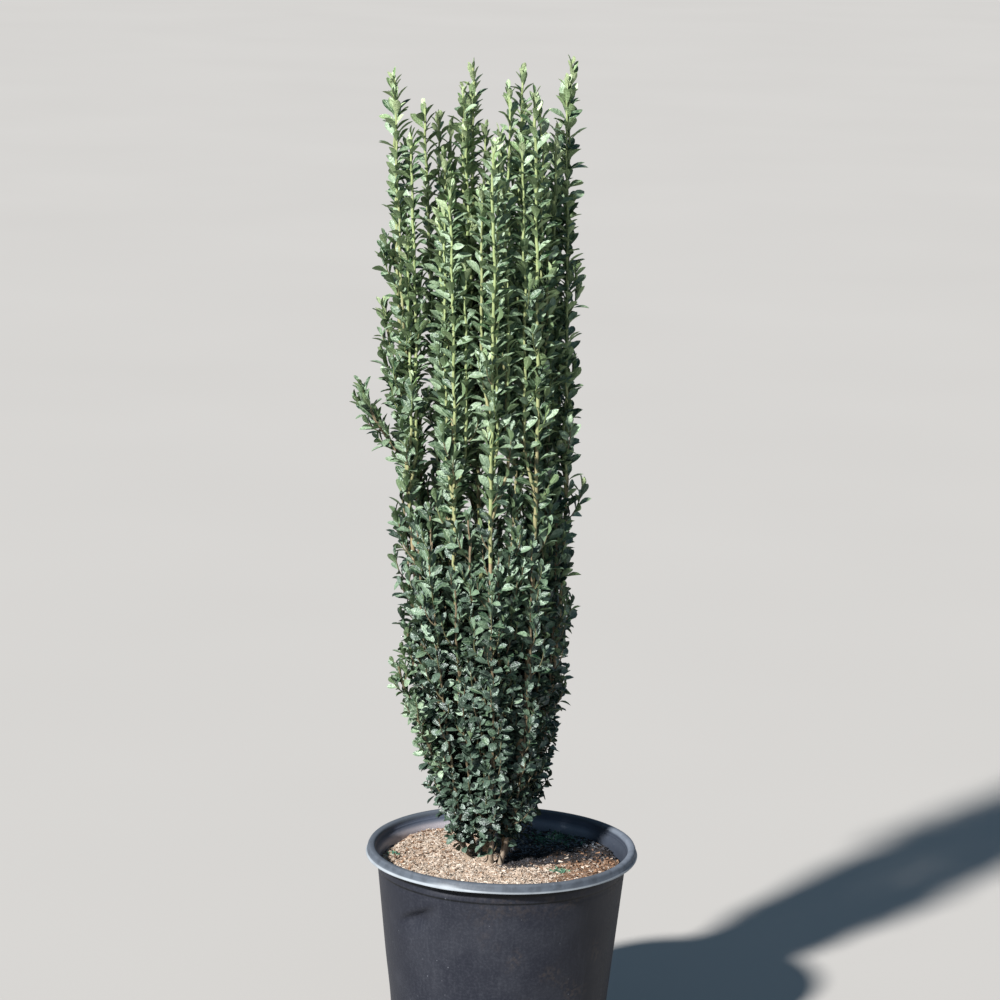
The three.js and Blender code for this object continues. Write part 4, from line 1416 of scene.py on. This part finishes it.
def leaf_finish(name, light, dark, roughness, rib_colour, gloss):
    finish = Finish(name, Specular_IOR_Level=gloss, Specular_Tint=(*WAX_TINT, 1), IOR=1.5)
    cloud = finish.noise(3.2, 3)
    tone = finish.mark("tone") * 0.62 + cloud.step(0.38, 0.62) * 0.38
    rib = finish.mark("rib").step(0.86, 1.0)
    tint = finish.mix(rib * 0.7, finish.mix(tone, light, dark), rib_colour)
    return finish.look(tint, roughness + cloud * 0.16, finish.noise(1.7, 3), 1.1)


# Each kind: the light and the dark green of the upper side, the midrib and the underside, partly painted
# light
LEAF_COLOURS = {
    "tip": [(0.51, 0.625, 0.390), (0.125, 0.235, 0.078), (0.52, 0.62, 0.38), (0.38, 0.48, 0.26)],
    "young": [(0.335, 0.452, 0.302), (0.019, 0.068, 0.019), (0.40, 0.50, 0.31), (0.23, 0.33, 0.16)],
    "grown": [(0.302, 0.418, 0.280), (0.010, 0.046, 0.012), (0.35, 0.45, 0.28), (0.18, 0.27, 0.135)],
    "lower_grown": [(0.198, 0.300, 0.198), (0.003, 0.026, 0.008), (0.30, 0.40, 0.24), (0.15, 0.23, 0.12)],
    "old": [(0.104, 0.166, 0.121), (0.001, 0.010, 0.004), (0.20, 0.27, 0.20), (0.06, 0.10, 0.065)],
}
GLOSS = {"tip": 0.8, "young": 0.9, "grown": 0.9, "lower_grown": 0.9, "old": 1.0}

leaf_finishes = {}
for kind, (light, dark, rib, pale) in LEAF_COLOURS.items():
    pale_shade = tuple(UNDER_SHADE * part for part in pale)
    leaf_finishes[kind] = (
        leaf_finish(kind + "_leaf_upper_side", light, dark, UPPER_ROUGHNESS, rib, GLOSS[kind]),
        leaf_finish(kind + "_leaf_underside", pale, pale_shade, UNDER_ROUGHNESS, rib, UNDER_GLOSS),
    )

leaf_pieces = {}
for kind, rows in leaves.items():
    finishes = leaf_finishes.get(kind, leaf_finishes["old"])
    form = short_leaf if kind.startswith("lower_") else long_leaf
    leaf_pieces[kind] = leaf_mesh(kind + "_leaves", np.array(rows), form, *finishes)

# %% [markdown]
# ## Floor and light
# The plant stands on a plain pale floor that runs well past the frame and has only a faint cloudiness. One
# key light comes from the front left, as low as the sun in the photo. A sun lamp has parallel rays, and its
# angle says how large it looks, so that a few degrees soften the edges of the shadows.

# %% Floor
FLOOR_HALF = 60
FLOOR_DARK, FLOOR_LIGHT = (0.488, 0.474, 0.458), (0.516, 0.502, 0.486)

floor_finish = Finish("pale_floor", Specular_IOR_Level=0.1)
cloudy = floor_finish.noise(900, 2)
floor_finish.look(floor_finish.mix(cloudy, FLOOR_DARK, FLOOR_LIGHT), 0.85 + cloudy * 0.1)

bm = bmesh.new()
bmesh.ops.create_grid(bm, x_segments=4, y_segments=4, size=FLOOR_HALF / MM)
floor = piece_from_bmesh("floor", bm, floor_finish.material)

# %% Key light
SUN_FROM = Vector((-0.505, -0.670, 0.545))
SUN_STRENGTH = 7.4
SUN_SOFTNESS = radians(4)
SUN_COLOUR = (1.0, 0.97, 0.93)

sun = placed("key_light", bpy.data.lights.new("key_light", "SUN"))
sun.data.energy = SUN_STRENGTH
sun.data.angle = SUN_SOFTNESS
sun.data.color = SUN_COLOUR
sun.rotation_euler = SUN_FROM.to_track_quat("Z", "Y").to_euler()

# %% [markdown]
# The shade is filled by the surround, which is bluish like an open sky and makes the gloss on the leaves
# cool. Behind the floor the camera is to see a pale backdrop instead, so a Light Path node tells the
# camera's own rays from the rest and picks one of two backgrounds.

# %% Surround
SURROUND = (0.47, 0.72, 1.0)
SURROUND_STRENGTH = 0.20
BACKDROP = (0.66, 0.65, 0.63)

world = bpy.data.worlds.new("surround")
world.use_nodes = True
tree = world.node_tree
lit = tree.nodes["Background"]
lit.inputs["Color"].default_value = (*SURROUND, 1)
lit.inputs["Strength"].default_value = SURROUND_STRENGTH
seen = tree.nodes.new("ShaderNodeBackground")
seen.inputs["Color"].default_value = (*BACKDROP, 1)
rays = tree.nodes.new("ShaderNodeLightPath")
either = tree.nodes.new("ShaderNodeMixShader")
tree.links.new(rays.outputs["Is Camera Ray"], either.inputs[0])
tree.links.new(lit.outputs[0], either.inputs[1])
tree.links.new(seen.outputs[0], either.inputs[2])
tree.links.new(either.outputs[0], tree.nodes["World Output"].inputs["Surface"])
bpy.context.scene.world = world

# %% [markdown]
# ## Handing over
# Every piece rides on the one body, is listed with the name of a slot, and hides the nodes of the solid
# model that it stands for.

# %% Bodies, slots and replaced nodes
# The plan of a bough names its stem too, so it has more than four entries
stem_nodes = [("bough_" if len(plan) > 4 else "stem_") + name for name, plan in LIMBS.items()]
spire_nodes = ["spire_" + name for name in LIMBS]

handover = [(pot, "pot", ["pot"]), (limb_mesh, "bark", stem_nodes)]
handover += [(piece, "potting_mix", ["potting_mix"]) for piece in soil_pieces]
handover += [(piece, "bark", spire_nodes) for piece in (spire_shoot_mesh, spire_twig_mesh)]
handover += [(piece, "bark", list(SKIRTS)) for piece in (skirt_shoot_mesh, low_twig_mesh)]
handover += [(leaf_pieces[kind], "young_leaf", spire_nodes) for kind in ("tip", "young")]
handover += [(leaf_pieces[kind], "old_leaf", spire_nodes) for kind in ("grown", "old")]
handover += [(leaf_pieces[kind], "old_leaf", list(SKIRTS)) for kind in ("lower_grown", "lower_old")]
for piece, slot, nodes in handover:
    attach(piece, "root")
    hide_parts(*nodes)
